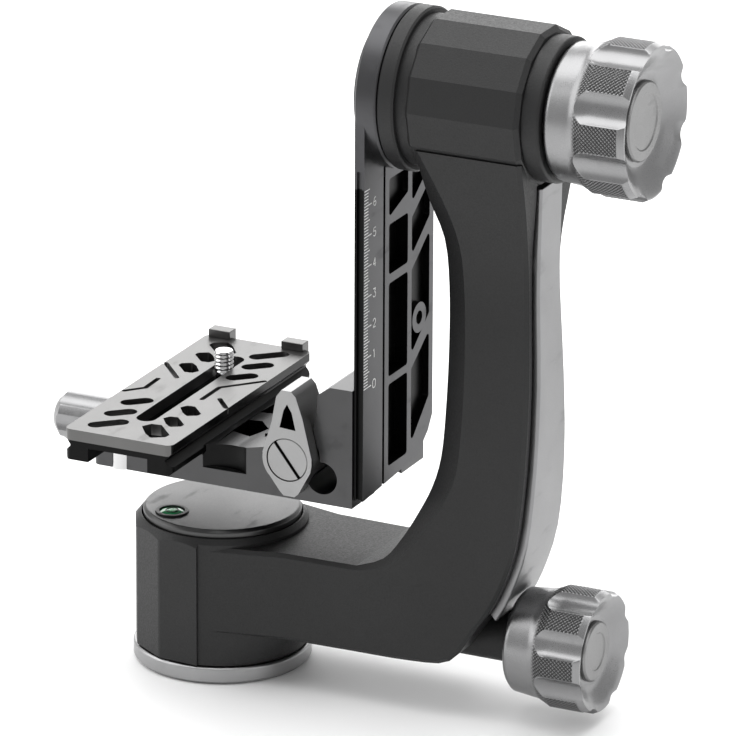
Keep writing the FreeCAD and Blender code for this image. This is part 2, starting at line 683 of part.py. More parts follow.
def pan_knob():
    """Lower lock knob."""
    return fluted_knob(PAN_KNOB_X, PAN_KNOB_LEN, (PAN_KNOB_BACK_R, PAN_KNOB_R), PAN_KNOB_BACK_LEN,
                       (PAN_FLUTE_R, PAN_FLUTE_D), (PAN_DISC_R, PAN_DISH_D), PAN_KNOB_Z, ROD_R)


def pan_brake_rod():
    """Long threaded rod from the lower knob to the brake shoe."""
    return rod_x(ROD_R, SPINDLE_R + FACE_GAP + SHOE_LEN, PAN_KNOB_X + PAN_KNOB_LEN - PAN_DISH_D, 0, PAN_KNOB_Z)


def pan_knob_washer():
    """Bright washer behind the lower knob."""
    washer = rod_x(WASHER_R, PAN_BOSS_X1 + 0.5, PAN_KNOB_X, 0, PAN_KNOB_Z)
    return washer.cut(rod_x(ROD_R, PAN_BOSS_X1, PAN_KNOB_X, 0, PAN_KNOB_Z))


def pan_brake_shoe():
    """Nylon shoe, hollowed to the spindle, that the rod presses inwards."""
    shoe = rod_x(SHOE_R, SPINDLE_R * 0.7, SPINDLE_R + FACE_GAP + SHOE_LEN, 0, PAN_KNOB_Z)
    return shoe.cut(rod_z(SPINDLE_R + FACE_GAP, PAN_KNOB_Z - 9, PAN_KNOB_Z + 9))


def tilt_knob():
    """Upper lock knob."""
    return fluted_knob(TILT_KNOB_X, TILT_KNOB_LEN, (TILT_KNOB_BACK_R, TILT_KNOB_R), TILT_KNOB_BACK_LEN,
                       (TILT_FLUTE_R, TILT_FLUTE_D), (TILT_DISC_R, TILT_DISH_D), TILT_Z, STUD_R)


def tilt_knob_stud():
    """Stud from the upper knob through the collar."""
    return rod_x(STUD_R, BRAKE_DISC_X + BRAKE_DISC_T, TILT_KNOB_X + TILT_KNOB_LEN - TILT_DISH_D, 0, TILT_Z)


def tilt_brake_disc():
    """Nylon disc that the stud presses on the spindle's end."""
    return rod_x(BRAKE_DISC_R, BRAKE_DISC_X, BRAKE_DISC_X + BRAKE_DISC_T, 0, TILT_Z)


def swing_outline():
    """Long plate with its lower corners cut off, up into the round head."""
    return [(-SWING_HALF, SWING_BOTTOM), (14.0, 73.2), (22.0, 79.3), (SWING_HALF, 84.0),
            (SWING_HALF, TILT_Z), (-SWING_HALF, TILT_Z)]


def swing_pockets():
    """Pockets between the ribs: a ladder in the middle and slanted ribs beside it."""
    a0, a1 = -7.2, 6.4
    b0, b1 = 9.3, 22.2
    deep = POCKET_DEPTH + 2.0
    cells = [
        ([(a0, 76.7), (a1, 76.7), (a1, 104.0), (a0, 104.0)], deep),
        ([(a0, 106.6), (a1, 106.6), (a1, 137.5), (a0, 137.5)], deep),
        ([(a0, 140.5), (a1, 140.5), (a1, 157.0), (a0, 157.0)], deep),
        ([(a0, 159.5), (a1, 164.0), (a1, 172.0), (a0, 172.0)], POCKET_DEPTH),
        ([(b0, 79.0), (b1, 91.0), (b1, 113.0), (b0, 104.0)], POCKET_DEPTH),
        ([(b0, 109.0), (b1, 119.0), (b1, 146.5), (b0, 137.0)], POCKET_DEPTH),
        ([(b0, 142.0), (b1, 151.5), (b1, 163.5), (b0, 154.5)], POCKET_DEPTH),
        ([(b0, 159.5), (b1, 168.5), (b1, 172.0), (b0, 172.0)], POCKET_DEPTH),
    ]
    solids = []
    for corners, depth in cells:
        cell = prism_yz(corners, SWING_FRONT_X - depth, SWING_FRONT_X + 1)
        middle_x = SWING_FRONT_X + (1 - depth) / 2
        along = edges_where(cell, lambda e, m: abs(m.x - middle_x) < 0.01)
        solids.append(cell.makeFillet(1.1, along))
    return solids


def swing_arm():
    """Graduated plate that hangs from the tilt spindle, with its dovetail rail behind."""
    plate = prism_yz(swing_outline(), SWING_BACK_X, SWING_FRONT_X)
    head = turned_x([(SWING_BACK_X, 0), (SWING_BACK_X, SWING_HEAD_R - EDGE_BREAK),
                     (SWING_BACK_X + EDGE_BREAK, SWING_HEAD_R), (HEAD_FACE_X - EDGE_BREAK, SWING_HEAD_R),
                     (HEAD_FACE_X, SWING_HEAD_R - EDGE_BREAK), (HEAD_FACE_X, 0)], 0, TILT_Z)
    rail_y = [(SWING_BACK_X + 1, RAIL_HALF_ROOT), (SWING_BACK_X, RAIL_HALF_ROOT),
              (SWING_BACK_X - RAIL_DEPTH, RAIL_HALF_TIP)]
    ring = rail_y + [(x, -y) for x, y in reversed(rail_y)]
    rail = prism_xy(ring, SWING_BOTTOM + 3.0, RAIL_TOP)
    boss = rod_x(SMALL_BOSS_R, SWING_BACK_X, SWING_FRONT_X, SMALL_BOSS_Y, SMALL_BOSS_Z)
    body = joined([plate, head, rail])
    top = TILT_Z - HEAD_CAP_R
    groove = box(SWING_FRONT_X - 0.8, SWING_FRONT_X + 1, RULE_INNER_Y, RULE_INNER_Y + 1.4, SWING_BOTTOM - 1, top)
    edge_groove = box(SWING_BACK_X + 0.8, SWING_FRONT_X - 0.8, -SWING_HALF - 1, -SWING_HALF + 1.0,
                      SWING_BOTTOM - 1, top)
    body = body.cut(swing_pockets() + [groove, edge_groove])
    body = body.fuse(boss).removeSplitter()
    body = body.cut(rod_x(SMALL_HOLE_R, SWING_BACK_X - 1, SWING_FRONT_X + 1, SMALL_BOSS_Y, SMALL_BOSS_Z))
    spigot = rod_x(TILT_SPINDLE_R, SWING_BACK_X, HEAD_FACE_X, 0, TILT_Z)
    return body.cut([spigot] + [rod_x(r, x0, x1, y, z) for r, x0, x1, y, z in head_bolt_holes()])


def head_bolt_holes():
    """Holes of the four bolts that hold the spindle in the swing arm's head."""
    holes = []
    for k in range(4):
        turn = math.radians(45 + 90 * k)
        y, z = HEAD_BOLT_PITCH_R * math.sin(turn), TILT_Z + HEAD_BOLT_PITCH_R * math.cos(turn)
        holes.append((HEAD_BOLT_R, SWING_BACK_X, HEAD_FACE_X, y, z))
    return holes


def spindle_bolts():
    """Bolts through the spindle's clamp ring into the swing arm's head."""
    bolts = []
    for r, x0, x1, y, z in head_bolt_holes():
        bolts.append(rod_x(r, x0, x1, y, z))
    return Part.makeCompound(bolts)


def tilt_spindle():
    """Steel shaft of the tilt axis, held in the swing arm's head."""
    return turned_x([(SWING_BACK_X, 0), (SWING_BACK_X, TILT_SPINDLE_R),
                     (TILT_SPINDLE_END - EDGE_BREAK, TILT_SPINDLE_R),
                     (TILT_SPINDLE_END, TILT_SPINDLE_R - EDGE_BREAK), (TILT_SPINDLE_END, 0)], 0, TILT_Z)


def head_cap():
    """Cover at the back of the swing arm's head, flat at its foot."""
    x0 = SWING_BACK_X - HEAD_CAP_T
    body = turned_x([(x0, 0), (x0, HEAD_CAP_R - EDGE_BREAK), (x0 + EDGE_BREAK, HEAD_CAP_R),
                     (SWING_BACK_X, HEAD_CAP_R), (SWING_BACK_X, 0)], 0, TILT_Z)
    low = box(x0 - 1, SWING_BACK_X + 1, -HEAD_CAP_R, HEAD_CAP_R,
              TILT_Z - HEAD_CAP_R - 1, TILT_Z - HEAD_CAP_FLAT)
    return body.cut(low)


def platform_side():
    """Outline of the platform from the front: bar, long concave curve and upright block."""
    back = SWING_BACK_X - SLIDE_GAP
    block = PLATFORM_BLOCK_X
    step = PLATE_X + PLATE_W / 2 - NECK_FOOT / 10
    bed = PLATE_TOP - PLATE_T - SLIDE_GAP
    curve = [(-0.4, -10.2), (-1.6, -15.2), (-4.6, -18.6), (-9.6, -21.2), (-17.6, -23.2), (-28.6, -25.6)]
    return [(PLATFORM_X0, PLATFORM_BOTTOM), (back, PLATFORM_BOTTOM), (back, PLATFORM_BLOCK_TOP),
            (block + 4.4, PLATFORM_BLOCK_TOP), (block, PLATFORM_BLOCK_TOP - 3.2)] + [
                (block + x, PLATFORM_BLOCK_TOP + z) for x, z in curve] + [
                    (step + 2.4, PLATFORM_TOP), (step, PLATFORM_TOP), (step, bed), (PLATFORM_X0, bed)]


def plate_outline(gap):
    """Dovetail outline of the plate seen from its end, grown by a gap."""
    half = PLATE_W / 2 + gap
    inset = half - NECK_INSET
    top = PLATE_TOP + gap
    slab = PLATE_TOP - PLATE_SLAB_T - gap
    foot = PLATE_TOP - PLATE_T
    right = [(half, top), (half, slab + 1.0), (inset, slab - 1.4), (inset, foot + NECK_FOOT + gap),
             (half, foot + FLANGE_T + gap), (half, foot + 1.0 - gap), (half - 1.0, foot - gap)]
    return right + [(-x, z) for x, z in reversed(right)]


def plate_space(gap):
    """Room that the plate takes in the clamp."""
    return prism_xz([(PLATE_X + x, z) for x, z in plate_outline(gap)], PLATE_Y0 - 40, PLATE_Y1 + 40)


def platform():
    """L-shaped carrier that slides on the swing arm's rail and holds the clamp."""
    body = prism_xz(platform_side(), PLATFORM_FRONT, -PLATFORM_FRONT)
    corner = edges_where(body, lambda e, m: m.x < PLATFORM_X0 + 0.01 and abs(m.y) > -PLATFORM_FRONT - 0.01)
    body = body.makeFillet(PLATFORM_CORNER_R, corner)
    root = RAIL_HALF_ROOT + SLIDE_GAP
    tip = RAIL_HALF_TIP + SLIDE_GAP
    depth = RAIL_DEPTH + SLIDE_GAP
    channel = [(SWING_FRONT_X, root), (SWING_BACK_X, root), (SWING_BACK_X - depth, tip)]
    ring = channel + [(x, -y) for x, y in reversed(channel)]
    cuts = [
        prism_xy(ring, PLATFORM_BOTTOM - 1, PLATFORM_BLOCK_TOP + 1),
        plate_space(SLIDE_GAP),
        rod_y(ROUND_HOLE_R, PLATFORM_FRONT - 1, -PLATFORM_FRONT + 1, ROUND_HOLE_X, ROUND_HOLE_Z),
        rod_y(LEVER_DRUM_R + 0.4, PLATFORM_FRONT - 1, LEVER_FACE_Y + LEVER_DRUM_T + 0.4, LEVER_X, LEVER_Z),
        rod_y(PIVOT_R, LEVER_FACE_Y, PIVOT_END_Y, LEVER_X, LEVER_Z),
        rod_z(PIN_R, PLATFORM_BOTTOM - 1, PLATE_TOP - PLATE_T, PIN_X, PIN_Y),
        rod_z(FRONT_FLUTE_R, FRONT_FLUTE_Z, PLATFORM_TOP + 3, FRONT_FLUTE_X, FRONT_FLUTE_Y),
        rod_x(CLAMP_STUD_R + RUN_GAP, PLATFORM_X0 - 1, PLATE_X + 6, 0, CLAMP_KNOB_Z),
        box(PLATFORM_X0 - 1, JAW_X1 + SLIDE_GAP, -JAW_HALF - SLIDE_GAP, JAW_HALF + SLIDE_GAP,
            PLATFORM_BOTTOM - 1, PLATE_TOP),
    ]
    cuts += platform_pockets()
    for y in GUIDE_Y:
        cuts.append(rod_x(GUIDE_R, JAW_X1, JAW_X1 + GUIDE_REACH, y, CLAMP_KNOB_Z))
    return body.cut(cuts)


def platform_pockets():
    """Lightening pockets in the platform's top between the plate and the block."""
    floor = PLATFORM_TOP - TOP_POCKET_D
    cuts = []
    for points in TOP_POCKETS:
        outline = [(PLATE_X + PLATE_W / 2 + x, y) for x, y in points]
        cuts.append(prism_xy(outline, floor, PLATFORM_BLOCK_TOP))
    return cuts


def detent_pin():
    """Bright pin standing in the groove of the platform's front."""
    return rod_z(PIN_R - PIN_GAP, PLATFORM_BOTTOM, PLATE_TOP - PLATE_T - 1.0, PIN_X, PIN_Y)


def clamp_guides():
    """Pins that keep the jaw square."""
    x0 = JAW_X1 - 5.0
    return Part.makeCompound([rod_x(GUIDE_R, x0, JAW_X1 + GUIDE_REACH, y, CLAMP_KNOB_Z) for y in GUIDE_Y])


def clamp_jaw():
    """Moving jaw that presses on the plate's left flank."""
    body = box(JAW_X0, JAW_X1, -JAW_HALF, JAW_HALF, PLATFORM_BOTTOM + SLIDE_GAP, PLATE_TOP - JAW_DROP)
    body = body.cut([plate_space(SLIDE_GAP), rod_x(CLAMP_STUD_R + RUN_GAP, JAW_X0, JAW_X1, 0, CLAMP_KNOB_Z)])
    for y in GUIDE_Y:
        body = body.cut(rod_x(GUIDE_R + RUN_GAP, JAW_X0, JAW_X1, y, CLAMP_KNOB_Z))
    return body


def clamp_knob():
    """Silver knob of the clamp: plain barrel with long flats."""
    body = turned_x([(CLAMP_KNOB_X0, 0), (CLAMP_KNOB_X0, 5.6), (CLAMP_KNOB_X0 + 2.6, CLAMP_KNOB_R),
                     (CLAMP_KNOB_X1 - 3.0, CLAMP_KNOB_R), (CLAMP_KNOB_X1, 6.0), (CLAMP_KNOB_X1, 0)],
                    0, CLAMP_KNOB_Z)
    for k in range(CLAMP_KNOB_FLATS):
        turn = math.radians(360.0 / CLAMP_KNOB_FLATS * (k + 0.5))
        y, dz = CLAMP_FLAT_REACH * math.sin(turn), CLAMP_FLAT_REACH * math.cos(turn)
        body = body.cut(rod_x(CLAMP_FLAT_R, CLAMP_KNOB_X0 - 1, CLAMP_KNOB_X1 - 5.0, y, CLAMP_KNOB_Z + dz))
    return body.cut(rod_x(CLAMP_STUD_R, CLAMP_KNOB_X0 + CLAMP_KNOB_WEB, CLAMP_KNOB_X1, 0, CLAMP_KNOB_Z))


def clamp_stud():
    """Threaded stud of the clamp knob."""
    return rod_x(CLAMP_STUD_R, CLAMP_KNOB_X0 + CLAMP_KNOB_WEB, PLATE_X + 2.0, 0, CLAMP_KNOB_Z)


def lever_outline():
    """Face of the lock lever: round at the pivot, pointed below and narrow at the top."""
    return [(-LEVER_DRUM_R, 1.5), (-7.2, -4.6), (-2.6, -10.6), (-1.2, -LEVER_DOWN), (2.6, -LEVER_DOWN),
            (4.0, -10.8), (LEVER_DRUM_R - 0.4, -3.0), (LEVER_DRUM_R, 1.5), (5.4, 14.5), (3.0, LEVER_UP - 1.6),
            (1.4, LEVER_UP), (-2.0, LEVER_UP), (-3.8, LEVER_UP - 2.4), (-5.4, 12.0)]


def lock_lever():
    """Lever with a thick handle over the platform and a round drum that turns in the platform's seat."""
    points = [(LEVER_X + x, LEVER_Z + z) for x, z in lever_outline()]
    front = prism_xz(points, LEVER_FACE_Y, LEVER_FACE_Y + LEVER_PLATE_T)
    handle_points = [(LEVER_X + x, LEVER_Z + z) for x, z in lever_outline() if z > 11]
    handle_points += [(LEVER_X - 4.6, LEVER_Z + 6.0), (LEVER_X + 4.6, LEVER_Z + 6.0)]
    handle_points.sort(key=lambda p: math.atan2(p[1] - LEVER_Z - 14, p[0] - LEVER_X))
    handle = prism_xz(handle_points, LEVER_FACE_Y + 1, LEVER_FACE_Y + LEVER_HANDLE_T)
    turning = rod_y(LEVER_DRUM_R, LEVER_FACE_Y, LEVER_FACE_Y + LEVER_DRUM_T, LEVER_X, LEVER_Z)
    body = joined([front, handle, turning])
    hole = [(LEVER_X + x, LEVER_Z + z) for x, z in LEVER_HOLE]
    cuts = [
        prism_xz(hole, LEVER_FACE_Y - 1, LEVER_FACE_Y + LEVER_HOLE_D),
        rod_y(PIVOT_HEAD_R + RUN_GAP, LEVER_FACE_Y - 1, LEVER_FACE_Y + 1.6, LEVER_X, LEVER_Z),
        rod_y(PIVOT_R + RUN_GAP, LEVER_FACE_Y, LEVER_FACE_Y + LEVER_DRUM_T + 1, LEVER_X, LEVER_Z),
    ]
    return body.cut(cuts)


def lever_pivot_screw():
    """Slotted screw that the lever turns on."""
    face = LEVER_FACE_Y + 0.1
    seat = LEVER_FACE_Y + 1.5
    head = turned_y([(face, 0), (face, PIVOT_HEAD_R - 0.4), (face + 0.4, PIVOT_HEAD_R),
                     (seat, PIVOT_HEAD_R), (seat, 0)], LEVER_X, LEVER_Z)
    shank = rod_y(PIVOT_R, seat, PIVOT_END_Y, LEVER_X, LEVER_Z)
    slot = box(LEVER_X - 10, LEVER_X + 10, LEVER_FACE_Y - 1, face + PIVOT_SLOT_D,
               LEVER_Z - PIVOT_SLOT_W / 2, LEVER_Z + PIVOT_SLOT_W / 2)
    slot.rotate(Vector(LEVER_X, 0, LEVER_Z), Y_AXIS, PIVOT_SLOT_TURN)
    return head.fuse(shank).cut(slot)


def plate_hole(x, y, size, z0, z1):
    """Six-sided hole with its long way across the plate's diagonal."""
    outline = [(-6.0, 2.0), (-4.3, 5.2), (-0.8, 5.6), (5.5, -1.2), (5.3, -3.7), (1.3, -6.2), (-2.0, -3.4)]
    points = [(x + a * size, y + b * size) for a, b in outline]
    body = prism_xy(points, z0, z1)
    return body.makeFillet(0.8, edges_where(body, lambda e, m: abs(m.z - (z0 + z1) / 2) < 0.01))


def plate_slot(x, y, length, z0, z1):
    """Round-ended slanted slot."""
    half = (length - PLATE_SLOT_W) / 2
    turn = math.radians(PLATE_SLOT_TURN)
    dx, dy = half * math.cos(turn), half * math.sin(turn)
    return groove_xy([(x - dx, y - dy), (x + dx, y + dy)], PLATE_SLOT_W, z0, z1)


def plate_cuts():
    """Slots and holes through the slab, the same on both halves when the plate is turned round."""
    centre = Vector(PLATE_X, (PLATE_Y0 + PLATE_Y1) / 2, 0)
    low, high = CHANNEL_ROOF - SLIDE_GAP, PLATE_TOP + 1
    half = [plate_hole(PLATE_X + x, centre.y + y, size, low, high) for x, y, size in PLATE_HOLES]
    half += [plate_slot(PLATE_X + x, centre.y + y, length, low, high) for x, y, length in PLATE_SLOTS]
    cuts = list(half)
    for cut in half:
        turned = cut.copy()
        turned.rotate(centre, Z_AXIS, 180)
        cuts.append(turned)
    for path in PLATE_GROOVES:
        line = [(PLATE_X + x, centre.y + y) for x, y in path]
        cuts.append(groove_xy(line, GROOVE_W, PLATE_TOP - GROOVE_D, high))
    ends = [(PLATE_X, PLATE_Y0 + SLOT_V0), (PLATE_X, PLATE_Y0 + SLOT_V1)]
    cuts.append(groove_xy(ends, SCREW_SLOT_W, PLATE_TOP - PLATE_T - 1, high))
    return cuts


def qr_plate():
    """Long dovetail plate with a slot for the camera screw."""
    body = prism_xz([(PLATE_X + x, z) for x, z in plate_outline(0.0)], PLATE_Y0, PLATE_Y1)
    blank = box(PLATE_X - PLATE_W / 2, PLATE_X + PLATE_W / 2, PLATE_Y0, PLATE_Y1, PLATE_TOP - PLATE_T, PLATE_TOP)
    uprights = edges_where(blank, lambda e, m: abs(m.z - PLATE_TOP + PLATE_T / 2) < 0.01)
    body = body.common(blank.makeFillet(PLATE_CORNER_R, uprights))
    channel = box(PLATE_X - FOOT_CHANNEL_W / 2, PLATE_X + FOOT_CHANNEL_W / 2, PLATE_Y0 - 1, PLATE_Y1 + 1,
                  PLATE_TOP - PLATE_T - 1, PLATE_TOP - PLATE_T + FOOT_CHANNEL_D)
    return body.cut([channel] + plate_cuts())


def plate_lugs():
    """Two stops that stand up at the plate's far end."""
    x0 = PLATE_X - PLATE_W / 2
    lugs = []
    for u in LUG_U:
        lug = box(x0 + u - LUG_HALF, x0 + u + LUG_HALF, PLATE_Y1, PLATE_Y1 + LUG_T,
                  PLATE_TOP - LUG_DROP, PLATE_TOP + LUG_UP)
        foot = box(x0 + u - LUG_HALF, x0 + u + LUG_HALF, PLATE_Y1 - LUG_LAP, PLATE_Y1 + LUG_T,
                   PLATE_TOP, PLATE_TOP + LUG_UP)
        lugs.append(lug.fuse(foot).removeSplitter())
    return Part.makeCompound(lugs)


def camera_screw():
    """Bright screw that stands through the plate's slot."""
    low = CHANNEL_ROOF - 0.9
    base = low - SCREW_HEAD_T
    neck_r = SCREW_R - SCREW_THREAD_D
    tip = PLATE_TOP + SCREW_PROUD
    body = turned_z([(0, base), (SCREW_HEAD_R, base), (SCREW_HEAD_R, low), (neck_r, low),
                     (neck_r, PLATE_TOP - SCREW_THREAD_D), (SCREW_R, PLATE_TOP), (SCREW_R, tip - SCREW_THREAD_D),
                     (neck_r, tip), (0, tip)], PLATE_X, SCREW_Y)
    slot = box(PLATE_X - 10, PLATE_X + 10, SCREW_Y - 0.6, SCREW_Y + 0.6, base - 1, base + 1.0)
    return body.cut(slot)


def screw_washer():
    """Thin washer that slides in the plate's channel and keeps the camera screw from falling out."""
    z0 = CHANNEL_ROOF - 0.8
    ring = rod_z(SCREW_HEAD_R - EDGE_BREAK, z0, CHANNEL_ROOF - 0.1, PLATE_X, SCREW_Y)
    return ring.cut(rod_z(SCREW_R - SCREW_THREAD_D + RUN_GAP, z0, CHANNEL_ROOF, PLATE_X, SCREW_Y))


def all_nodes():
    """Every piece by its name."""
    return {
        "base_plate": base_plate(),
        "tripod_socket": tripod_socket(),
        "pan_spindle": pan_spindle(),
        "foot_screws": foot_screws(),
        "pan_retainer": pan_retainer(),
        "gimbal_arm": gimbal_arm(),
        "spine_panel": spine_panel(),
        "pan_bearing_lower": pan_bearing(PAN_BEARING_Z[0]),
        "pan_bearing_upper": pan_bearing(PAN_BEARING_Z[1]),
        "base_cap": base_cap(),
        "level_housing": level_housing(),
        "level_vial": level_vial(),
        "tilt_bearing_inner": tilt_bearing(TILT_BEARING_X[0]),
        "tilt_bearing_outer": tilt_bearing(TILT_BEARING_X[1]),
        "tilt_collar": tilt_collar(),
        "pan_brake_shoe": pan_brake_shoe(),
        "pan_brake_rod": pan_brake_rod(),
        "pan_knob": pan_knob(),
        "pan_knob_disc": knob_disc(PAN_KNOB_X + PAN_KNOB_LEN, PAN_DISC_R, PAN_DISH_D, PAN_KNOB_Z),
        "pan_knob_washer": pan_knob_washer(),
        "tilt_brake_disc": tilt_brake_disc(),
        "tilt_knob_stud": tilt_knob_stud(),
        "tilt_knob": tilt_knob(),
        "tilt_knob_disc": knob_disc(TILT_KNOB_X + TILT_KNOB_LEN, TILT_DISC_R, TILT_DISH_D, TILT_Z),
        "swing_arm": swing_arm(),
        "tilt_spindle": tilt_spindle(),
        "spindle_bolts": spindle_bolts(),
        "head_cap": head_cap(),
        "platform": platform(),
        "detent_pin": detent_pin(),
        "clamp_guides": clamp_guides(),
        "lever_pivot_screw": lever_pivot_screw(),
        "lock_lever": lock_lever(),
        "clamp_jaw": clamp_jaw(),
        "clamp_stud": clamp_stud(),
        "clamp_knob": clamp_knob(),
        "qr_plate": qr_plate(),
        "plate_lugs": plate_lugs(),
        "camera_screw": camera_screw(),
        "screw_washer": screw_washer(),
    }


def main():
    """Write one file for each piece."""
    os.makedirs("parts", exist_ok=True)
    for name, shape in all_nodes().items():
        shape.exportStep(os.path.join("parts", name + ".step"))
        solids = len(shape.Solids)
        print(f"{name:22s} solids {solids} volume {shape.Volume:10.1f} valid {shape.isValid()}")


main()
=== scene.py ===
import math

import bpy
import numpy as np
from mathutils import Matrix, Vector


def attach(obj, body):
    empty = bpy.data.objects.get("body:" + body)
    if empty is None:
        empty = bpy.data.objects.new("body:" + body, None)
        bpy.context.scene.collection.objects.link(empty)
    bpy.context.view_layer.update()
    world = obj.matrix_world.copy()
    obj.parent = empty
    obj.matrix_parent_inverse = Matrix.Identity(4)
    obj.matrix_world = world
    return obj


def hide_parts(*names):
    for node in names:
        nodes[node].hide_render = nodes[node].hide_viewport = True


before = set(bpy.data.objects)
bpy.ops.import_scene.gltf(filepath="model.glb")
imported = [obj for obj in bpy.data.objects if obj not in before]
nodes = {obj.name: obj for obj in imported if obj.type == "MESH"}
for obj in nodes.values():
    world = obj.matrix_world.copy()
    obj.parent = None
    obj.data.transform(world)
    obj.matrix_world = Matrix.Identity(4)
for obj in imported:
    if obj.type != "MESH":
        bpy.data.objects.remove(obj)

MM = 0.001
scene = bpy.context.scene
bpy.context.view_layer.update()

# Camera: a long lens in front of the head, to its right and above it, held without roll.
# Its axes and place come from the real sizes of the foot, cap, housing and rule.
CAMERA_RIGHT = Vector((0.8992, 0.4377, 0.0040)).normalized()
CAMERA_BACK = Vector((0.41085, -0.84714, 0.33698)).normalized()
CAMERA_UP = CAMERA_BACK.cross(CAMERA_RIGHT).normalized()
CAMERA_PLACE = Vector((1.0643, -2.0881, 0.9362))
CAMERA_LENS = 382.6
camera_data = bpy.data.cameras.new("camera")
camera_data.sensor_width = 36
camera_data.lens = CAMERA_LENS
camera_data.clip_start = 0.05
camera_data.clip_end = 30
camera = bpy.data.objects.new("camera", camera_data)
scene.collection.objects.link(camera)
camera_turn = Matrix((CAMERA_RIGHT, CAMERA_UP, CAMERA_BACK)).transposed()
camera.matrix_world = Matrix.Translation(CAMERA_PLACE) @ camera_turn.to_4x4()
scene.camera = camera
scene.view_settings.view_transform = "Standard"

# Studio: a plain white floor under the foot and large soft lights: above, far left, behind and right.
# The floor is matt paper, so that the foot stands in a soft shadow.
FLOOR_HALF = 6.0
PAPER_COLOUR = (0.92, 0.92, 0.92, 1)
WORLD_STRENGTH = 0.62
SOFTBOX_AIM = (0.03, 0, 0.12)
SOFTBOXES = (  # name, place, width, height, power
    ("softbox_top", (-0.1, 0.2, 1.5), 2.0, 1.6, 26),
    ("softbox_left", (-1.5, -0.5, 0.9), 1.6, 1.4, 13),
    ("softbox_back", (-0.66, 1.4, 0.66), 1.8, 0.8, 13),
    ("softbox_right", (1.6, -0.1, 0.9), 0.8, 1.4, 4),
)


def new_mesh_object(name, points, faces):
    """Object with a mesh of these points, in metres, and faces."""
    mesh = bpy.data.meshes.new(name)
    mesh.from_pydata(points, [], faces)
    mesh.update()
    thing = bpy.data.objects.new(name, mesh)
    scene.collection.objects.link(thing)
    return thing


def soft_light(name, place, width, height, power):
    """Rectangular softbox that looks at the middle of the head."""
    data = bpy.data.lights.new(name, "AREA")
    data.shape = "RECTANGLE"
    data.size = width
    data.size_y = height
    data.energy = power
    light = bpy.data.objects.new(name, data)
    light.location = place
    light.rotation_mode = "QUATERNION"
    light.rotation_quaternion = (Vector(SOFTBOX_AIM) - Vector(place)).to_track_quat("-Z", "Y")
    scene.collection.objects.link(light)


floor_corners = [(x * FLOOR_HALF, y * FLOOR_HALF, 0) for x, y in ((-1, -1), (1, -1), (1, 1), (-1, 1))]
floor = new_mesh_object("floor", floor_corners, [(0, 1, 2, 3)])
paper = bpy.data.materials.new("studio_paper")
paper.use_nodes = True
paper_shader = paper.node_tree.nodes["Principled BSDF"]
paper_shader.inputs["Base Color"].default_value = PAPER_COLOUR
paper_shader.inputs["Roughness"].default_value = 0.6
paper_shader.inputs["Specular IOR Level"].default_value = 0.3
floor.data.materials.append(paper)

world = bpy.data.worlds.new("studio")
world.use_nodes = True
world.node_tree.nodes["Background"].inputs["Color"].default_value = (1, 1, 1, 1)
world.node_tree.nodes["Background"].inputs["Strength"].default_value = WORLD_STRENGTH
scene.world = world
for softbox in SOFTBOXES:
    soft_light(*softbox)

# Foot: a round disc turned from aluminium bar, bead blasted and clear anodised.
# Screws hold it to the spindle, and its edges are lightly broken.
FOOT_COLOUR = (0.36, 0.36, 0.363)
NOISE_SPAN = (0.3, 0.7)         # what a noise value mostly stays within
SLOW_GRAIN = 14.0               # mm, of the slow changes of shade
SHADE_VARIATION = 0.05
SCUFF_GRAIN = 5.0               # mm, across a scuff
SCUFF_STRETCH = (1, 0.3, 1)
SCUFF_SPAN = (0.60, 0.72)       # noise at which a scuff starts and is full
SCUFF_ROUGHNESS = 0.12
WELD_GAP = 2e-6
FLAT_ANGLE = 0.6                # degrees within which facets are one flat


def shader_of(name):
    """New material with its node tree, links and shader."""
    material = bpy.data.materials.new(name)
    material.use_nodes = True
    tree = material.node_tree
    return material, tree, tree.nodes["Principled BSDF"]


def grain(tree, size_mm, detail=3.0, stretch=(1, 1, 1)):
    """Noise in the piece's own space with grains of a real size."""
    place = tree.nodes.new("ShaderNodeTexCoord")
    scale = tree.nodes.new("ShaderNodeMapping")
    scale.inputs["Scale"].default_value = [s / (size_mm * MM) for s in stretch]
    noise = tree.nodes.new("ShaderNodeTexNoise")
    noise.inputs["Scale"].default_value = 1.0
    noise.inputs["Detail"].default_value = detail
    tree.links.new(place.outputs["Object"], scale.inputs["Vector"])
    tree.links.new(scale.outputs["Vector"], noise.inputs["Vector"])
    return noise.outputs["Fac"]


def spread(tree, value, low, high):
    """A noise value spread between two numbers."""
    ranged = tree.nodes.new("ShaderNodeMapRange")
    ranged.inputs["From Min"].default_value = NOISE_SPAN[0]
    ranged.inputs["From Max"].default_value = NOISE_SPAN[1]
    ranged.inputs["To Min"].default_value = low
    ranged.inputs["To Max"].default_value = high
    tree.links.new(value, ranged.inputs["Value"])
    return ranged.outputs["Result"]


def relief(tree, shader, value, depth_mm):
    """Bump of a real depth on the shader's normal."""
    bump = tree.nodes.new("ShaderNodeBump")
    bump.inputs["Distance"].default_value = depth_mm * MM
    tree.links.new(value, bump.inputs["Height"])
    tree.links.new(bump.outputs["Normal"], shader.inputs["Normal"])


def tinted(tree, shader, colour, value, darker, lighter):
    """Colour that varies between two shades of itself."""
    mix = tree.nodes.new("ShaderNodeMix")
    mix.data_type = "RGBA"
    mix.inputs["A"].default_value = [c * darker for c in colour] + [1]
    mix.inputs["B"].default_value = [min(1, c * lighter) for c in colour] + [1]
    tree.links.new(value, mix.inputs["Factor"])
    tree.links.new(mix.outputs["Result"], shader.inputs["Base Color"])


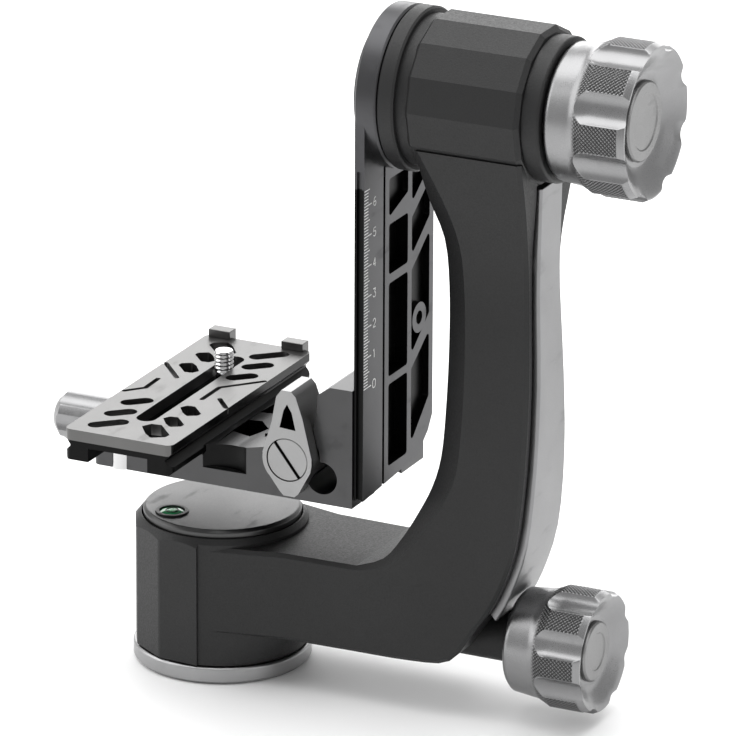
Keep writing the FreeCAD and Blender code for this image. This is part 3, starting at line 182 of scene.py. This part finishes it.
def metal(name, colour, roughness, grain_mm, depth_mm=0.004, metallic=1.0):
    """Satin finish: fine grain in its roughness and relief, slow changes of shade, a few scuffs."""
    material, tree, shader = shader_of(name)
    shader.inputs["Metallic"].default_value = metallic
    fine = grain(tree, grain_mm)
    slow = grain(tree, SLOW_GRAIN, 2.0)
    scuffs = tree.nodes.new("ShaderNodeMapRange")
    scuffs.inputs["From Min"].default_value = SCUFF_SPAN[0]
    scuffs.inputs["From Max"].default_value = SCUFF_SPAN[1]
    scuffs.inputs["To Max"].default_value = SCUFF_ROUGHNESS
    tree.links.new(grain(tree, SCUFF_GRAIN, 6.0, SCUFF_STRETCH), scuffs.inputs["Value"])
    rough = tree.nodes.new("ShaderNodeMath")
    tree.links.new(spread(tree, fine, roughness - 0.05, roughness + 0.06), rough.inputs[0])
    tree.links.new(scuffs.outputs["Result"], rough.inputs[1])
    tree.links.new(rough.outputs["Value"], shader.inputs["Roughness"])
    tinted(tree, shader, colour, spread(tree, slow, 0, 1), 1 - SHADE_VARIATION, 1 + SHADE_VARIATION)
    relief(tree, shader, fine, depth_mm)
    return material


def dress(node, material, edge_mm, segments=2, edge_angle=28):
    """Give a solid its finish and broken edges."""
    thing = nodes[node]
    thing.data.materials.clear()
    thing.data.materials.append(material)
    weld = thing.modifiers.new("weld", "WELD")
    weld.merge_threshold = WELD_GAP
    flats = thing.modifiers.new("flats", "DECIMATE")
    flats.decimate_type = "DISSOLVE"
    flats.angle_limit = math.radians(FLAT_ANGLE)
    edges = thing.modifiers.new("broken_edges", "BEVEL")
    edges.width = edge_mm * MM
    edges.segments = segments
    edges.limit_method = "ANGLE"
    edges.angle_limit = math.radians(edge_angle)
    edges.use_clamp_overlap = True
    even = thing.modifiers.new("even_shading", "WEIGHTED_NORMAL")
    even.keep_sharp = False


foot_finish = metal("blasted_aluminium", FOOT_COLOUR, 0.34, 0.22)
dress("base_plate", foot_finish, 0.3)

# Steel inside the foot: the threaded socket, the spindle, its screws and its retaining ring.
# Turned from steel bar and left bright with a film of oil.
steel_finish = metal("turned_steel", (0.52, 0.52, 0.53), 0.24, 0.12, 0.002)
for name in ("tripod_socket", "pan_spindle", "foot_screws", "pan_retainer"):
    dress(name, steel_finish, 0.15)

# Gimbal arm: one aluminium casting of drum, beam, upright and head housing, painted black.
# The paint dries to a fine sandy skin that reads as matt leather from a step away.
ARM_COLOUR = (0.010, 0.010, 0.0103)
PAINT_ROUGHNESS = 0.52
PAINT_GLOSS = 0.38
LUMP_GRAIN = 0.55
LUMP_HEIGHT = 0.05
PAINT_SHADE_GRAIN = 30.0


def sand_paint(name):
    """Textured black paint: small lumps under a semi-matt skin."""
    material, tree, shader = shader_of(name)
    lumps = grain(tree, LUMP_GRAIN, 4.0)
    slow = grain(tree, PAINT_SHADE_GRAIN, 2.0)
    rough = spread(tree, lumps, PAINT_ROUGHNESS - 0.08, PAINT_ROUGHNESS + 0.08)
    tree.links.new(rough, shader.inputs["Roughness"])
    tinted(tree, shader, ARM_COLOUR, spread(tree, slow, 0, 1), 0.9, 1.15)
    relief(tree, shader, lumps, LUMP_HEIGHT)
    shader.inputs["Specular IOR Level"].default_value = PAINT_GLOSS
    return material


arm_finish = sand_paint("sand_black_paint")
dress("gimbal_arm", arm_finish, 0.8, 3, 14)
dress("tilt_collar", arm_finish, 0.3)

# Bearings: plain rings turned from bronze, two on each axis, with a film of oil on them.
# They are pressed into the casting, and the spindles turn in them.
bronze_finish = metal("bearing_bronze", (0.55, 0.36, 0.16), 0.3, 0.15, 0.003)
for name in ("pan_bearing_lower", "pan_bearing_upper", "tilt_bearing_inner", "tilt_bearing_outer"):
    dress(name, bronze_finish, 0.15)

# Spine panel: a strip of aluminium let into the outside of the upright, satin anodised.
# It follows the bend of the casting and is glued into its seat.
spine_finish = metal("satin_spine", (0.24, 0.24, 0.243), 0.34, 0.2)
dress("spine_panel", spine_finish, 0.3)

# Drum cap: a lid turned from aluminium bar and anodised dark grey, with fine turning rings on its top
# and a pocket for the bubble level. It is pressed into the drum.
CAP_COLOUR = (0.085, 0.085, 0.085)
CAP_RING_PITCH = 0.35
RING_DEPTH = 0.004
WAVE_FACTOR = 20                # the wave texture's own factor between its scale and its pitch


def turned_rings(tree, shader, direction, centre_mm, pitch_mm):
    """Fine rings left by the lathe round an axis, as relief over the metal's own grain."""
    place = tree.nodes.new("ShaderNodeTexCoord")
    centred = tree.nodes.new("ShaderNodeVectorMath")
    centred.operation = "SUBTRACT"
    centred.inputs[1].default_value = [c * MM for c in centre_mm]
    rings = tree.nodes.new("ShaderNodeTexWave")
    rings.wave_type = "RINGS"
    rings.rings_direction = direction
    rings.inputs["Scale"].default_value = math.tau / (WAVE_FACTOR * pitch_mm * MM)
    rings.inputs["Distortion"].default_value = 0.4
    bump = tree.nodes.new("ShaderNodeBump")
    bump.inputs["Distance"].default_value = RING_DEPTH * MM
    tree.links.new(place.outputs["Object"], centred.inputs[0])
    tree.links.new(centred.outputs["Vector"], rings.inputs["Vector"])
    tree.links.new(rings.outputs["Fac"], bump.inputs["Height"])
    tree.links.new(shader.inputs["Normal"].links[0].from_socket, bump.inputs["Normal"])
    tree.links.new(bump.outputs["Normal"], shader.inputs["Normal"])


def shader_in(material):
    """Node tree and shader of a finished material."""
    return material.node_tree, material.node_tree.nodes["Principled BSDF"]


cap_finish = metal("turned_cap", CAP_COLOUR, 0.36, 0.2, 0.004)
turned_rings(*shader_in(cap_finish), "Z", (0, 0, 0), CAP_RING_PITCH)
dress("base_cap", cap_finish, 0.25)

# Bubble level: a black cup pressed into the cap, a green vial with a printed ring, and its bubble.
# The vial is clear acrylic full of green spirit, so it is smooth and bright.
VIAL_CENTRE = (-10.9, -14.0)
VIAL_TOP = 52.0
RING_R = 2.0
RING_WIRE = 0.16
RING_DROP = 0.05                # from the vial's top to the middle of the ring's wire
RING_TURNS = 48
RING_SIDES = 10
BUBBLE_R = 1.35
BUBBLE_SHIFT = (0.2, 0.3)
BUBBLE_DROP = 0.08
BUBBLE_FLATNESS = 0.28


def ring_wire(name, centre, ring_r, wire_r):
    """Thin round ring lying flat."""
    points = []
    faces = []
    for i in range(RING_TURNS):
        a = math.tau * i / RING_TURNS
        near, far = i * RING_SIDES, (i + 1) % RING_TURNS * RING_SIDES
        for j in range(RING_SIDES):
            b = math.tau * j / RING_SIDES
            reach = ring_r + wire_r * math.cos(b)
            points.append(((centre[0] + reach * math.cos(a)) * MM, (centre[1] + reach * math.sin(a)) * MM,
                           (centre[2] + wire_r * math.sin(b)) * MM))
            k = (j + 1) % RING_SIDES
            faces.append((near + j, far + j, far + k, near + k))
    ring = new_mesh_object(name, points, faces)
    ring.data.shade_smooth()
    return ring


level_cup_finish = metal("level_cup_black", (0.015, 0.015, 0.015), 0.4, 0.2, 0.003, metallic=0.0)
dress("level_housing", level_cup_finish, 0.15)
vial_material, vial_tree, vial_shader = shader_of("vial_green")
vial_shader.inputs["Roughness"].default_value = 0.08
vial_shade = spread(vial_tree, grain(vial_tree, 3.0), 0, 1)
tinted(vial_tree, vial_shader, (0.02, 0.30, 0.10), vial_shade, 0.6, 1.3)
dress("level_vial", vial_material, 0.1)
vial_ring = ring_wire("vial_ring", (*VIAL_CENTRE, VIAL_TOP - RING_DROP), RING_R, RING_WIRE)
vial_ring.data.materials.append(level_cup_finish)
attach(vial_ring, "arm")
bubble_material, bubble_tree, bubble_shader = shader_of("vial_bubble")
bubble_shade = spread(bubble_tree, grain(bubble_tree, 2.0), 0, 1)
tinted(bubble_tree, bubble_shader, (0.45, 0.85, 0.55), bubble_shade, 0.8, 1.1)
bubble_shader.inputs["Roughness"].default_value = 0.06
bubble_x, bubble_y = (middle + shift for middle, shift in zip(VIAL_CENTRE, BUBBLE_SHIFT))
bubble_z = VIAL_TOP - BUBBLE_DROP
bubble = ring_wire("vial_bubble", (bubble_x, bubble_y, bubble_z), BUBBLE_R / 2, BUBBLE_R / 2)
for vertex in bubble.data.vertices:
    vertex.co.z = bubble_z * MM + (vertex.co.z - bubble_z * MM) * BUBBLE_FLATNESS
bubble.data.materials.append(bubble_material)
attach(bubble, "arm")

# Brakes: a nylon shoe on the pan spindle and a nylon disc on the tilt spindle, both machined from bar.
# Steel rods press them when the lock knobs are screwed in.
nylon_finish = metal("nylon", (0.62, 0.61, 0.57), 0.5, 0.4, 0.01, metallic=0.0)
dress("pan_brake_shoe", nylon_finish, 0.2)
dress("tilt_brake_disc", nylon_finish, 0.2)
dress("pan_brake_rod", steel_finish, 0.2)
dress("tilt_knob_stud", steel_finish, 0.2)

# Lock knobs: turned and milled from aluminium, eight round flutes with a diamond knurl on the lands
# between them, a plain tapered back and a dished front. A turned disc hides the end of the rod.
KNOB_COLOUR = (0.27, 0.27, 0.273)
# painted shade: the colour that the knurl's grooves darken towards, the more the deeper they are
GROOVE_SHADE_COLOUR = (0.03, 0.03, 0.03, 1)
KNOB_COLUMNS = 864
KNURL_DEPTH = 0.34
KNURL_PITCH = 1.3
KNURL_STEP = 0.18               # between the rings of points along the knurl
KNURL_POWER = 1.5               # how round the points are
KNURL_REACH = 1.2               # over 1 leaves a flat floor in the grooves
KNURL_START = 1.1               # where the knurl starts, as a share of the plain back's length
KNURL_RUN_OUT = 0.4
SHOULDER_END = 1.5              # where the full radius starts, as a share of the plain back's length
BACK_CHAMFER = 1
FRONT_BEND = 2                  # length over which the front edge turns in
FLUTE_COUNT = 8
FLUTE_POINT = 7.0               # length over which a flute runs in
FLUTE_SHALLOW = 1.6
NO_FLUTE = 9                    # beyond the knob's radius, where nothing is cut
LAND_FADE = 0.5
KNOB_RIM = 1.7
DISH_SHARES = (0.35, 0.7, 1.0)
DISC_RING_PITCH = 0.3
SHARP_ANGLE = 42
KNOB_SHAPES = {
    "pan_knob": {"x0": 106.5, "length": 28.0, "z": 23.7, "back_r": 16.8, "front_r": 20.0, "back_len": 9.8,
                 "flute_r": 6.6, "flute_d": 2.1, "dish_r": 11.6, "dish_d": 4.0, "bore_r": 3.9,
                 "body": "pan_lock"},
    "tilt_knob": {"x0": 120.5, "length": 28.6, "z": 200.75, "back_r": 21.7, "front_r": 25.0, "back_len": 9.4,
                  "flute_r": 7.2, "flute_d": 2.7, "dish_r": 14.6, "dish_d": 5.0, "bore_r": 4.0,
                  "body": "tilt_lock"},
}


def knurl(around, along, teeth):
    """Height of a diamond knurl, 0 in its grooves and 1 on its points."""
    first = np.abs((around * teeth + along) % 1 - 0.5) * 2
    second = np.abs((around * teeth - along) % 1 - 0.5) * 2
    return np.clip(1 - np.maximum(first, second) ** KNURL_POWER * KNURL_REACH, 0, 1)


def ring_faces(rows, columns, closed):
    """Faces between rings of points, each ring and the next, and the last and the first if closed."""
    faces = []
    for i in range(rows if closed else rows - 1):
        near, far = i * columns, (i + 1) % rows * columns
        for j in range(columns):
            k = (j + 1) % columns
            faces.append((near + j, near + k, far + k, far + j))
    return faces


def knob_rings(shape, turns):
    """Rings of a knob as places along it and radii, with how deep the outer ones are cut by the knurl."""
    x0, back_end = shape["x0"], shape["x0"] + shape["back_len"]
    front, front_r = shape["x0"] + shape["length"], shape["front_r"]
    bend = front - FRONT_BEND
    knurl_x = x0 + shape["back_len"] * KNURL_START
    profile = [(x0, shape["back_r"] - 1), (x0 + BACK_CHAMFER, shape["back_r"]),
               (back_end, shape["back_r"] + 1), (x0 + shape["back_len"] * SHOULDER_END, front_r),
               (bend, front_r), (front, front_r - 1)]
    knurled = np.arange(knurl_x, bend, KNURL_STEP)
    stations = np.unique(np.concatenate([
        np.linspace(x0, x0 + BACK_CHAMFER, 3), np.linspace(x0 + BACK_CHAMFER, knurled[0], 10),
        knurled, np.linspace(bend, front, 5)]))
    offset = (turns / math.tau * FLUTE_COUNT) % 1 - 0.5
    offset = offset * math.tau / FLUTE_COUNT
    teeth = round(math.tau * front_r / KNURL_PITCH)
    slope = (front_r - KNOB_RIM - shape["dish_r"]) / shape["dish_d"]
    rows = []
    grooves = []
    for x in stations:
        outer = np.full(KNOB_COLUMNS, np.interp(x, *zip(*profile)))
        run_in = max(0.0, 1 - (x - x0 - shape["back_len"]) / FLUTE_POINT)
        reach = front_r - shape["flute_d"] + shape["flute_r"] + FLUTE_SHALLOW * run_in ** 2
        inside = shape["flute_r"] ** 2 - (reach * np.sin(offset)) ** 2
        flute = reach * np.cos(offset) - np.sqrt(np.maximum(inside, 0))
        uncut = (inside <= 0) | (x < back_end)
        flute = np.where(uncut, front_r + NO_FLUTE, flute)
        land = np.clip((flute - outer) / LAND_FADE, 0, 1)
        along = (x - x0 - shape["back_len"] * KNURL_START) / KNURL_PITCH
        fade = np.clip(min(along, (bend - x) / KNURL_RUN_OUT), 0, 1)
        cut_depth = KNURL_DEPTH * (1 - knurl(turns / math.tau, along, teeth)) * land * fade
        grooves.append(cut_depth / KNURL_DEPTH)
        r = np.minimum(outer - cut_depth, flute)
        rows.append((np.minimum(x, front - np.maximum(0, front_r - KNOB_RIM - r) / slope), r))
    last_x, last_r = rows[-1]
    rim_r = np.minimum(last_r, front_r - KNOB_RIM)
    rows.append((last_x, rim_r - 0.001))
    floor_x = np.full(KNOB_COLUMNS, front - shape["dish_d"])
    for share in DISH_SHARES:
        rows.append((last_x + (floor_x - last_x) * share, rim_r + (shape["dish_r"] - rim_r) * share))
    for r in (shape["dish_r"] - 0.4, shape["bore_r"]):
        rows.append((floor_x, np.full(KNOB_COLUMNS, r)))
    rows.append((np.full(KNOB_COLUMNS, x0), np.full(KNOB_COLUMNS, shape["bore_r"])))
    return rows, grooves


def knob_mesh(name, shape):
    """Closed knob: its outside, dished front and bore, with the knurl's depth kept at its points."""
    turns = math.tau * np.arange(KNOB_COLUMNS) / KNOB_COLUMNS
    rows, grooves = knob_rings(shape, turns)
    points = np.concatenate([np.stack([x, r * np.sin(turns), shape["z"] + r * np.cos(turns)], 1)
                             for x, r in rows])
    knob = new_mesh_object(name, (points * MM).tolist(), ring_faces(len(rows), KNOB_COLUMNS, True))
    knob.data.shade_smooth()
    knob.data.set_sharp_from_angle(angle=math.radians(SHARP_ANGLE))
    plain = [np.zeros(KNOB_COLUMNS)] * (len(rows) - len(grooves))
    depth = knob.data.attributes.new("groove", "FLOAT", "POINT")
    depth.data.foreach_set("value", np.concatenate(grooves + plain).astype(np.float32))
    return knob


knob_finish = metal("satin_knob", KNOB_COLOUR, 0.3, 0.2)
knurled_finish = knob_finish.copy()
knob_tree, knob_shader = shader_in(knurled_finish)
# Painted shade: the knurled finish is darkened in the knurl's grooves by their depth.
groove = knob_tree.nodes.new("ShaderNodeAttribute")
groove.attribute_name = "groove"
groove_shade = knob_tree.nodes.new("ShaderNodeMix")
groove_shade.data_type = "RGBA"
groove_shade.inputs["B"].default_value = GROOVE_SHADE_COLOUR
knob_tree.links.new(knob_shader.inputs["Base Color"].links[0].from_socket, groove_shade.inputs["A"])
knob_tree.links.new(groove.outputs["Fac"], groove_shade.inputs["Factor"])
knob_tree.links.new(groove_shade.outputs["Result"], knob_shader.inputs["Base Color"])
disc_finish = metal("turned_disc", (0.22, 0.22, 0.22), 0.28, 0.15)
chrome_finish = metal("bright_chrome", (0.55, 0.55, 0.55), 0.1, 0.3, 0.001)
for name, shape in KNOB_SHAPES.items():
    piece = knob_mesh("fluted_" + name, shape)
    piece.data.materials.append(knurled_finish)
    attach(piece, shape["body"])
    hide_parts(name)
    finish = disc_finish.copy()
    turned_rings(*shader_in(finish), "X", (0, 0, shape["z"]), DISC_RING_PITCH)
    dress(name + "_disc", finish, 0.15)
dress("pan_knob_washer", chrome_finish, 0.2)

# Swing arm: a plate milled from aluminium and anodised grey; its pockets are painted black as painted shade,
# and its edges are black anodised. Its scale is filled with white paint, a line at each millimetre and a
# digit at each centimetre.
RULE_ZERO = 107.9
RULE_FACE = 62.2
RULE_EDGE = -24.95
RULE_LINES = 66
LINE_WIDTH = 0.32
CENTIMETRE_LINE = 5.2
HALF_LINE = 3.8
MILLIMETRE_LINE = 2.8
PAINT_HALF_T = 0.06
DIGIT_Y = -17.6
DIGIT_SIZE = 1.25
DIGIT_NARROWING = 0.8
DIGIT_STROKES = (  # one stroke for each digit from 0, points across and up in digit sizes
    [(-1, 0.6), (-0.5, 1.1), (0.5, 1.1), (1, 0.6), (1, -0.6), (0.5, -1.1), (-0.5, -1.1), (-1, -0.6),
     (-1, 0.6)],
    [(-0.6, 0.7), (0, 1.1), (0, -1.1)],
    [(-0.9, 0.6), (-0.5, 1.1), (0.5, 1.1), (0.9, 0.6), (0.8, 0.1), (-0.9, -1.1), (0.95, -1.1)],
    [(-0.8, 1.1), (0.8, 1.1), (0.1, 0.2), (0.8, -0.1), (0.85, -0.7), (0.4, -1.1), (-0.4, -1.1),
     (-0.9, -0.7)],
    [(0.4, -1.1), (0.4, 1.1), (-0.9, -0.4), (0.95, -0.4)],
    [(0.8, 1.1), (-0.7, 1.1), (-0.8, 0.1), (0.3, 0.3), (0.85, -0.3), (0.5, -1.0), (-0.3, -1.1),
     (-0.85, -0.8)],
    [(0.7, 1.0), (-0.1, 1.0), (-0.8, 0.0), (-0.8, -0.6), (-0.3, -1.1), (0.5, -1.1), (0.85, -0.6),
     (0.6, 0.0), (-0.7, -0.1)],
)
# black for painted shade in recesses and on shaded faces, and for the swing arm's black anodised edges
BLACK_AND_PAINTED_SHADE = (0.012, 0.012, 0.012, 1)
# painted shade in black on the floors and walls of the pockets, and the black of the edge groove
SWING_POCKET_SHADE_AND_BLACK_EDGE = (("x", "<", 62.1), ("x", ">", 57.7), ("nx", ">", -0.5), ("z", "<", 173.5))


def mask_of(tree, tests):
    """1 where every test holds: an axis of the place (x, y, z, mm) or of the normal (nx, ny, nz)."""
    place = tree.nodes.new("ShaderNodeTexCoord")
    spots = tree.nodes.new("ShaderNodeSeparateXYZ")
    sides = tree.nodes.new("ShaderNodeSeparateXYZ")
    tree.links.new(place.outputs["Object"], spots.inputs[0])
    tree.links.new(place.outputs["Normal"], sides.inputs[0])
    product = None
    for axis, sign, limit in tests:
        test = tree.nodes.new("ShaderNodeMath")
        test.operation = "GREATER_THAN" if sign == ">" else "LESS_THAN"
        source = sides if axis.startswith("n") else spots
        test.inputs[1].default_value = limit if axis.startswith("n") else limit * MM
        tree.links.new(source.outputs[axis[-1].upper()], test.inputs[0])
        if product:
            both = tree.nodes.new("ShaderNodeMath")
            both.operation = "MULTIPLY"
            tree.links.new(product, both.inputs[0])
            tree.links.new(test.outputs["Value"], both.inputs[1])
            product = both.outputs["Value"]
        else:
            product = test.outputs["Value"]
    return product


def paint_black_and_shade(material, tests):
    """Black on the part of a piece that passes the tests: painted shade in pockets, a flute, hollows, a slot
    and on the plate's shaded faces, and the swing arm's own black edges.
    """
    tree, shader = shader_in(material)
    mask = mask_of(tree, tests)
    mix = tree.nodes.new("ShaderNodeMix")
    mix.data_type = "RGBA"
    mix.inputs["B"].default_value = BLACK_AND_PAINTED_SHADE
    tree.links.new(shader.inputs["Base Color"].links[0].from_socket, mix.inputs["A"])
    tree.links.new(mask, mix.inputs["Factor"])
    tree.links.new(mix.outputs["Result"], shader.inputs["Base Color"])


def paint_strip(points, faces, start, end, width):
    """Thin flat strip of paint on the rule's face, from start to end in (y, z)."""
    (ya, za), (yb, zb) = start, end
    length = math.hypot(yb - ya, zb - za)
    ny, nz = -(zb - za) / length * width / 2, (yb - ya) / length * width / 2
    first = len(points)
    for x in (RULE_FACE - PAINT_HALF_T, RULE_FACE + PAINT_HALF_T):
        for y, z, side in ((ya, za, 1), (yb, zb, 1), (yb, zb, -1), (ya, za, -1)):
            points.append((x * MM, (y + ny * side) * MM, (z + nz * side) * MM))
    sides = [(0, 1, 2, 3), (7, 6, 5, 4), (0, 4, 5, 1), (1, 5, 6, 2), (2, 6, 7, 3), (3, 7, 4, 0)]
    faces += [tuple(first + i for i in side) for side in sides]


swing_finish = metal("anodised_grey", (0.075, 0.075, 0.078), 0.36, 0.2)
swing_plate_finish = swing_finish.copy()
paint_black_and_shade(swing_plate_finish, SWING_POCKET_SHADE_AND_BLACK_EDGE)
dress("swing_arm", swing_plate_finish, 0.2)
dress("head_cap", swing_finish, 0.3)
dress("tilt_spindle", steel_finish, 0.2)
dress("spindle_bolts", steel_finish, 0.15)
paint_points, paint_faces = [], []
for line in range(RULE_LINES):
    z = RULE_ZERO + line
    reach = CENTIMETRE_LINE if line % 10 == 0 else HALF_LINE if line % 5 == 0 else MILLIMETRE_LINE
    paint_strip(paint_points, paint_faces, (RULE_EDGE, z), (RULE_EDGE + reach, z), LINE_WIDTH)
for digit, stroke in enumerate(DIGIT_STROKES):
    spots = [(DIGIT_Y + y * DIGIT_SIZE * DIGIT_NARROWING, RULE_ZERO + 10 * digit + z * DIGIT_SIZE)
             for y, z in stroke]
    for start, end in zip(spots, spots[1:]):
        paint_strip(paint_points, paint_faces, start, end, LINE_WIDTH)
rule_paint = new_mesh_object("rule_marks", paint_points, paint_faces)
paint_finish = metal("white_paint", (0.85, 0.85, 0.84), 0.5, 0.2, 0.004, metallic=0.0)
rule_paint.data.materials.append(paint_finish)
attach(rule_paint, "swing")

# Platform and clamp: milled from aluminium bar and anodised; its pockets and its front flute are painted
# black as painted shade. The jaw slides on two steel pins, and a turned knob moves it along a stud.
# painted shade: black in the pockets and on the front-facing walls of the flute
PLATFORM_POCKET_SHADE = (("x", ">", 8.5), ("x", "<", 26.0), ("y", ">", -15.5), ("y", "<", 23.0),
                   ("z", "<", 80.8), ("z", ">", 73.8))
PLATFORM_FLUTE_SHADE = (("ny", "<", -0.3), ("y", ">", -25.9), ("x", ">", 0), ("x", "<", 28.0), ("z", ">", 73.4))
platform_finish = metal("anodised_platform", (0.075, 0.075, 0.076), 0.34, 0.2)
jaw_finish = platform_finish.copy()
paint_black_and_shade(platform_finish, PLATFORM_POCKET_SHADE)
paint_black_and_shade(platform_finish, PLATFORM_FLUTE_SHADE)
dress("platform", platform_finish, 0.25)
dress("clamp_jaw", jaw_finish, 0.25)
dress("detent_pin", chrome_finish, 0.1)
dress("clamp_guides", steel_finish, 0.1)
dress("clamp_stud", steel_finish, 0.1)
dress("clamp_knob", knob_finish, 0.3)

# Lock lever: cast in aluminium with a satin finish, turning on a wide slotted screw.
# The lever's hollow and the screw's slot are painted black as painted shade.
# painted shade: black in the lever's hollow and in the screw's slot
LEVER_HOLLOW_SHADE = (("y", ">", -30.6), ("y", "<", -23.8), ("x", ">", 35.6), ("x", "<", 41.6),
                ("z", ">", 92.6), ("z", "<", 101.6))
SCREW_SLOT_SHADE = (("y", ">", -30.5), ("y", "<", -29.0))
lever_finish = metal("satin_lever", (0.30, 0.30, 0.30), 0.34, 0.2)
lever_body_finish = lever_finish.copy()
paint_black_and_shade(lever_body_finish, LEVER_HOLLOW_SHADE)
screw_face_finish = lever_finish.copy()
paint_black_and_shade(screw_face_finish, SCREW_SLOT_SHADE)
dress("lock_lever", lever_body_finish, 0.3)
dress("lever_pivot_screw", screw_face_finish, 0.12)

# Quick-release plate: milled bar, light satin on top, with painted shade in black below its slab and on its
# long side that faces +X. The camera screw is bright steel with its thread cut up to the tip.
# painted shade: black under the slab, and on the side facing +X, away from the key light
PLATE_UNDERSIDE_SHADE = (("z", "<", 84.3),)
PLATE_SIDE_SHADE = (("nx", ">", 0.7), ("x", ">", 6.5))
SCREW_CENTRE = (-12.0, 25.0)
SCREW_HEAD_R = 8.0
SCREW_HEAD_T = 2.6
SCREW_HEAD_TOP = 81.5
THREAD_R = 3.175
SHANK_R = THREAD_R - 0.6
THREAD_DEPTH = 0.45
THREAD_PITCH = 1.27
THREAD_START = 86.0
THREAD_STEP = 0.12              # between the rings of points along the thread
SCREW_TIP = 93.6
TIP_SLOPE = 0.7
SCREW_COLUMNS = 72
SCREW_SHARP_ANGLE = 50


def threaded_screw(name):
    """Screw seen above the plate: a cut thread on a shank, with a broken tip and its head below."""
    heights = [SCREW_HEAD_TOP - SCREW_HEAD_T, SCREW_HEAD_TOP, SCREW_HEAD_TOP + 0.001, THREAD_START]
    heights += [*np.arange(THREAD_START + 0.1, SCREW_TIP, THREAD_STEP), SCREW_TIP]
    turns = math.tau * np.arange(SCREW_COLUMNS) / SCREW_COLUMNS
    points = []
    for z in heights:
        phase = np.abs(((z / THREAD_PITCH - turns / math.tau) % 1) - 0.5) * 2
        r = THREAD_R - THREAD_DEPTH * phase
        r = np.minimum(r, THREAD_R - THREAD_DEPTH + np.maximum(SCREW_TIP - z, 0) * TIP_SLOPE)
        if z <= SCREW_HEAD_TOP:
            r = np.full(SCREW_COLUMNS, SCREW_HEAD_R)
        elif z <= THREAD_START:
            r = np.full(SCREW_COLUMNS, SHANK_R)
        points += [((SCREW_CENTRE[0] + a * math.cos(t)) * MM,
                    (SCREW_CENTRE[1] + a * math.sin(t)) * MM, z * MM) for a, t in zip(r, turns)]
    top = (len(heights) - 1) * SCREW_COLUMNS
    faces = [tuple(range(SCREW_COLUMNS))[::-1], tuple(range(top, top + SCREW_COLUMNS))]
    faces += ring_faces(len(heights), SCREW_COLUMNS, False)
    screw = new_mesh_object(name, points, faces)
    screw.data.shade_smooth()
    screw.data.set_sharp_from_angle(angle=math.radians(SCREW_SHARP_ANGLE))
    return screw


plate_finish = metal("anodised_plate", (0.13, 0.129, 0.127), 0.36, 0.2)
lug_finish = plate_finish.copy()
paint_black_and_shade(plate_finish, PLATE_UNDERSIDE_SHADE)
paint_black_and_shade(plate_finish, PLATE_SIDE_SHADE)
dress("qr_plate", plate_finish, 0.2)
dress("plate_lugs", lug_finish, 0.2)
threads = threaded_screw("camera_thread")
threads.data.materials.append(chrome_finish)
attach(threads, "screw")
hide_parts("camera_screw")
dress("screw_washer", steel_finish, 0.1)
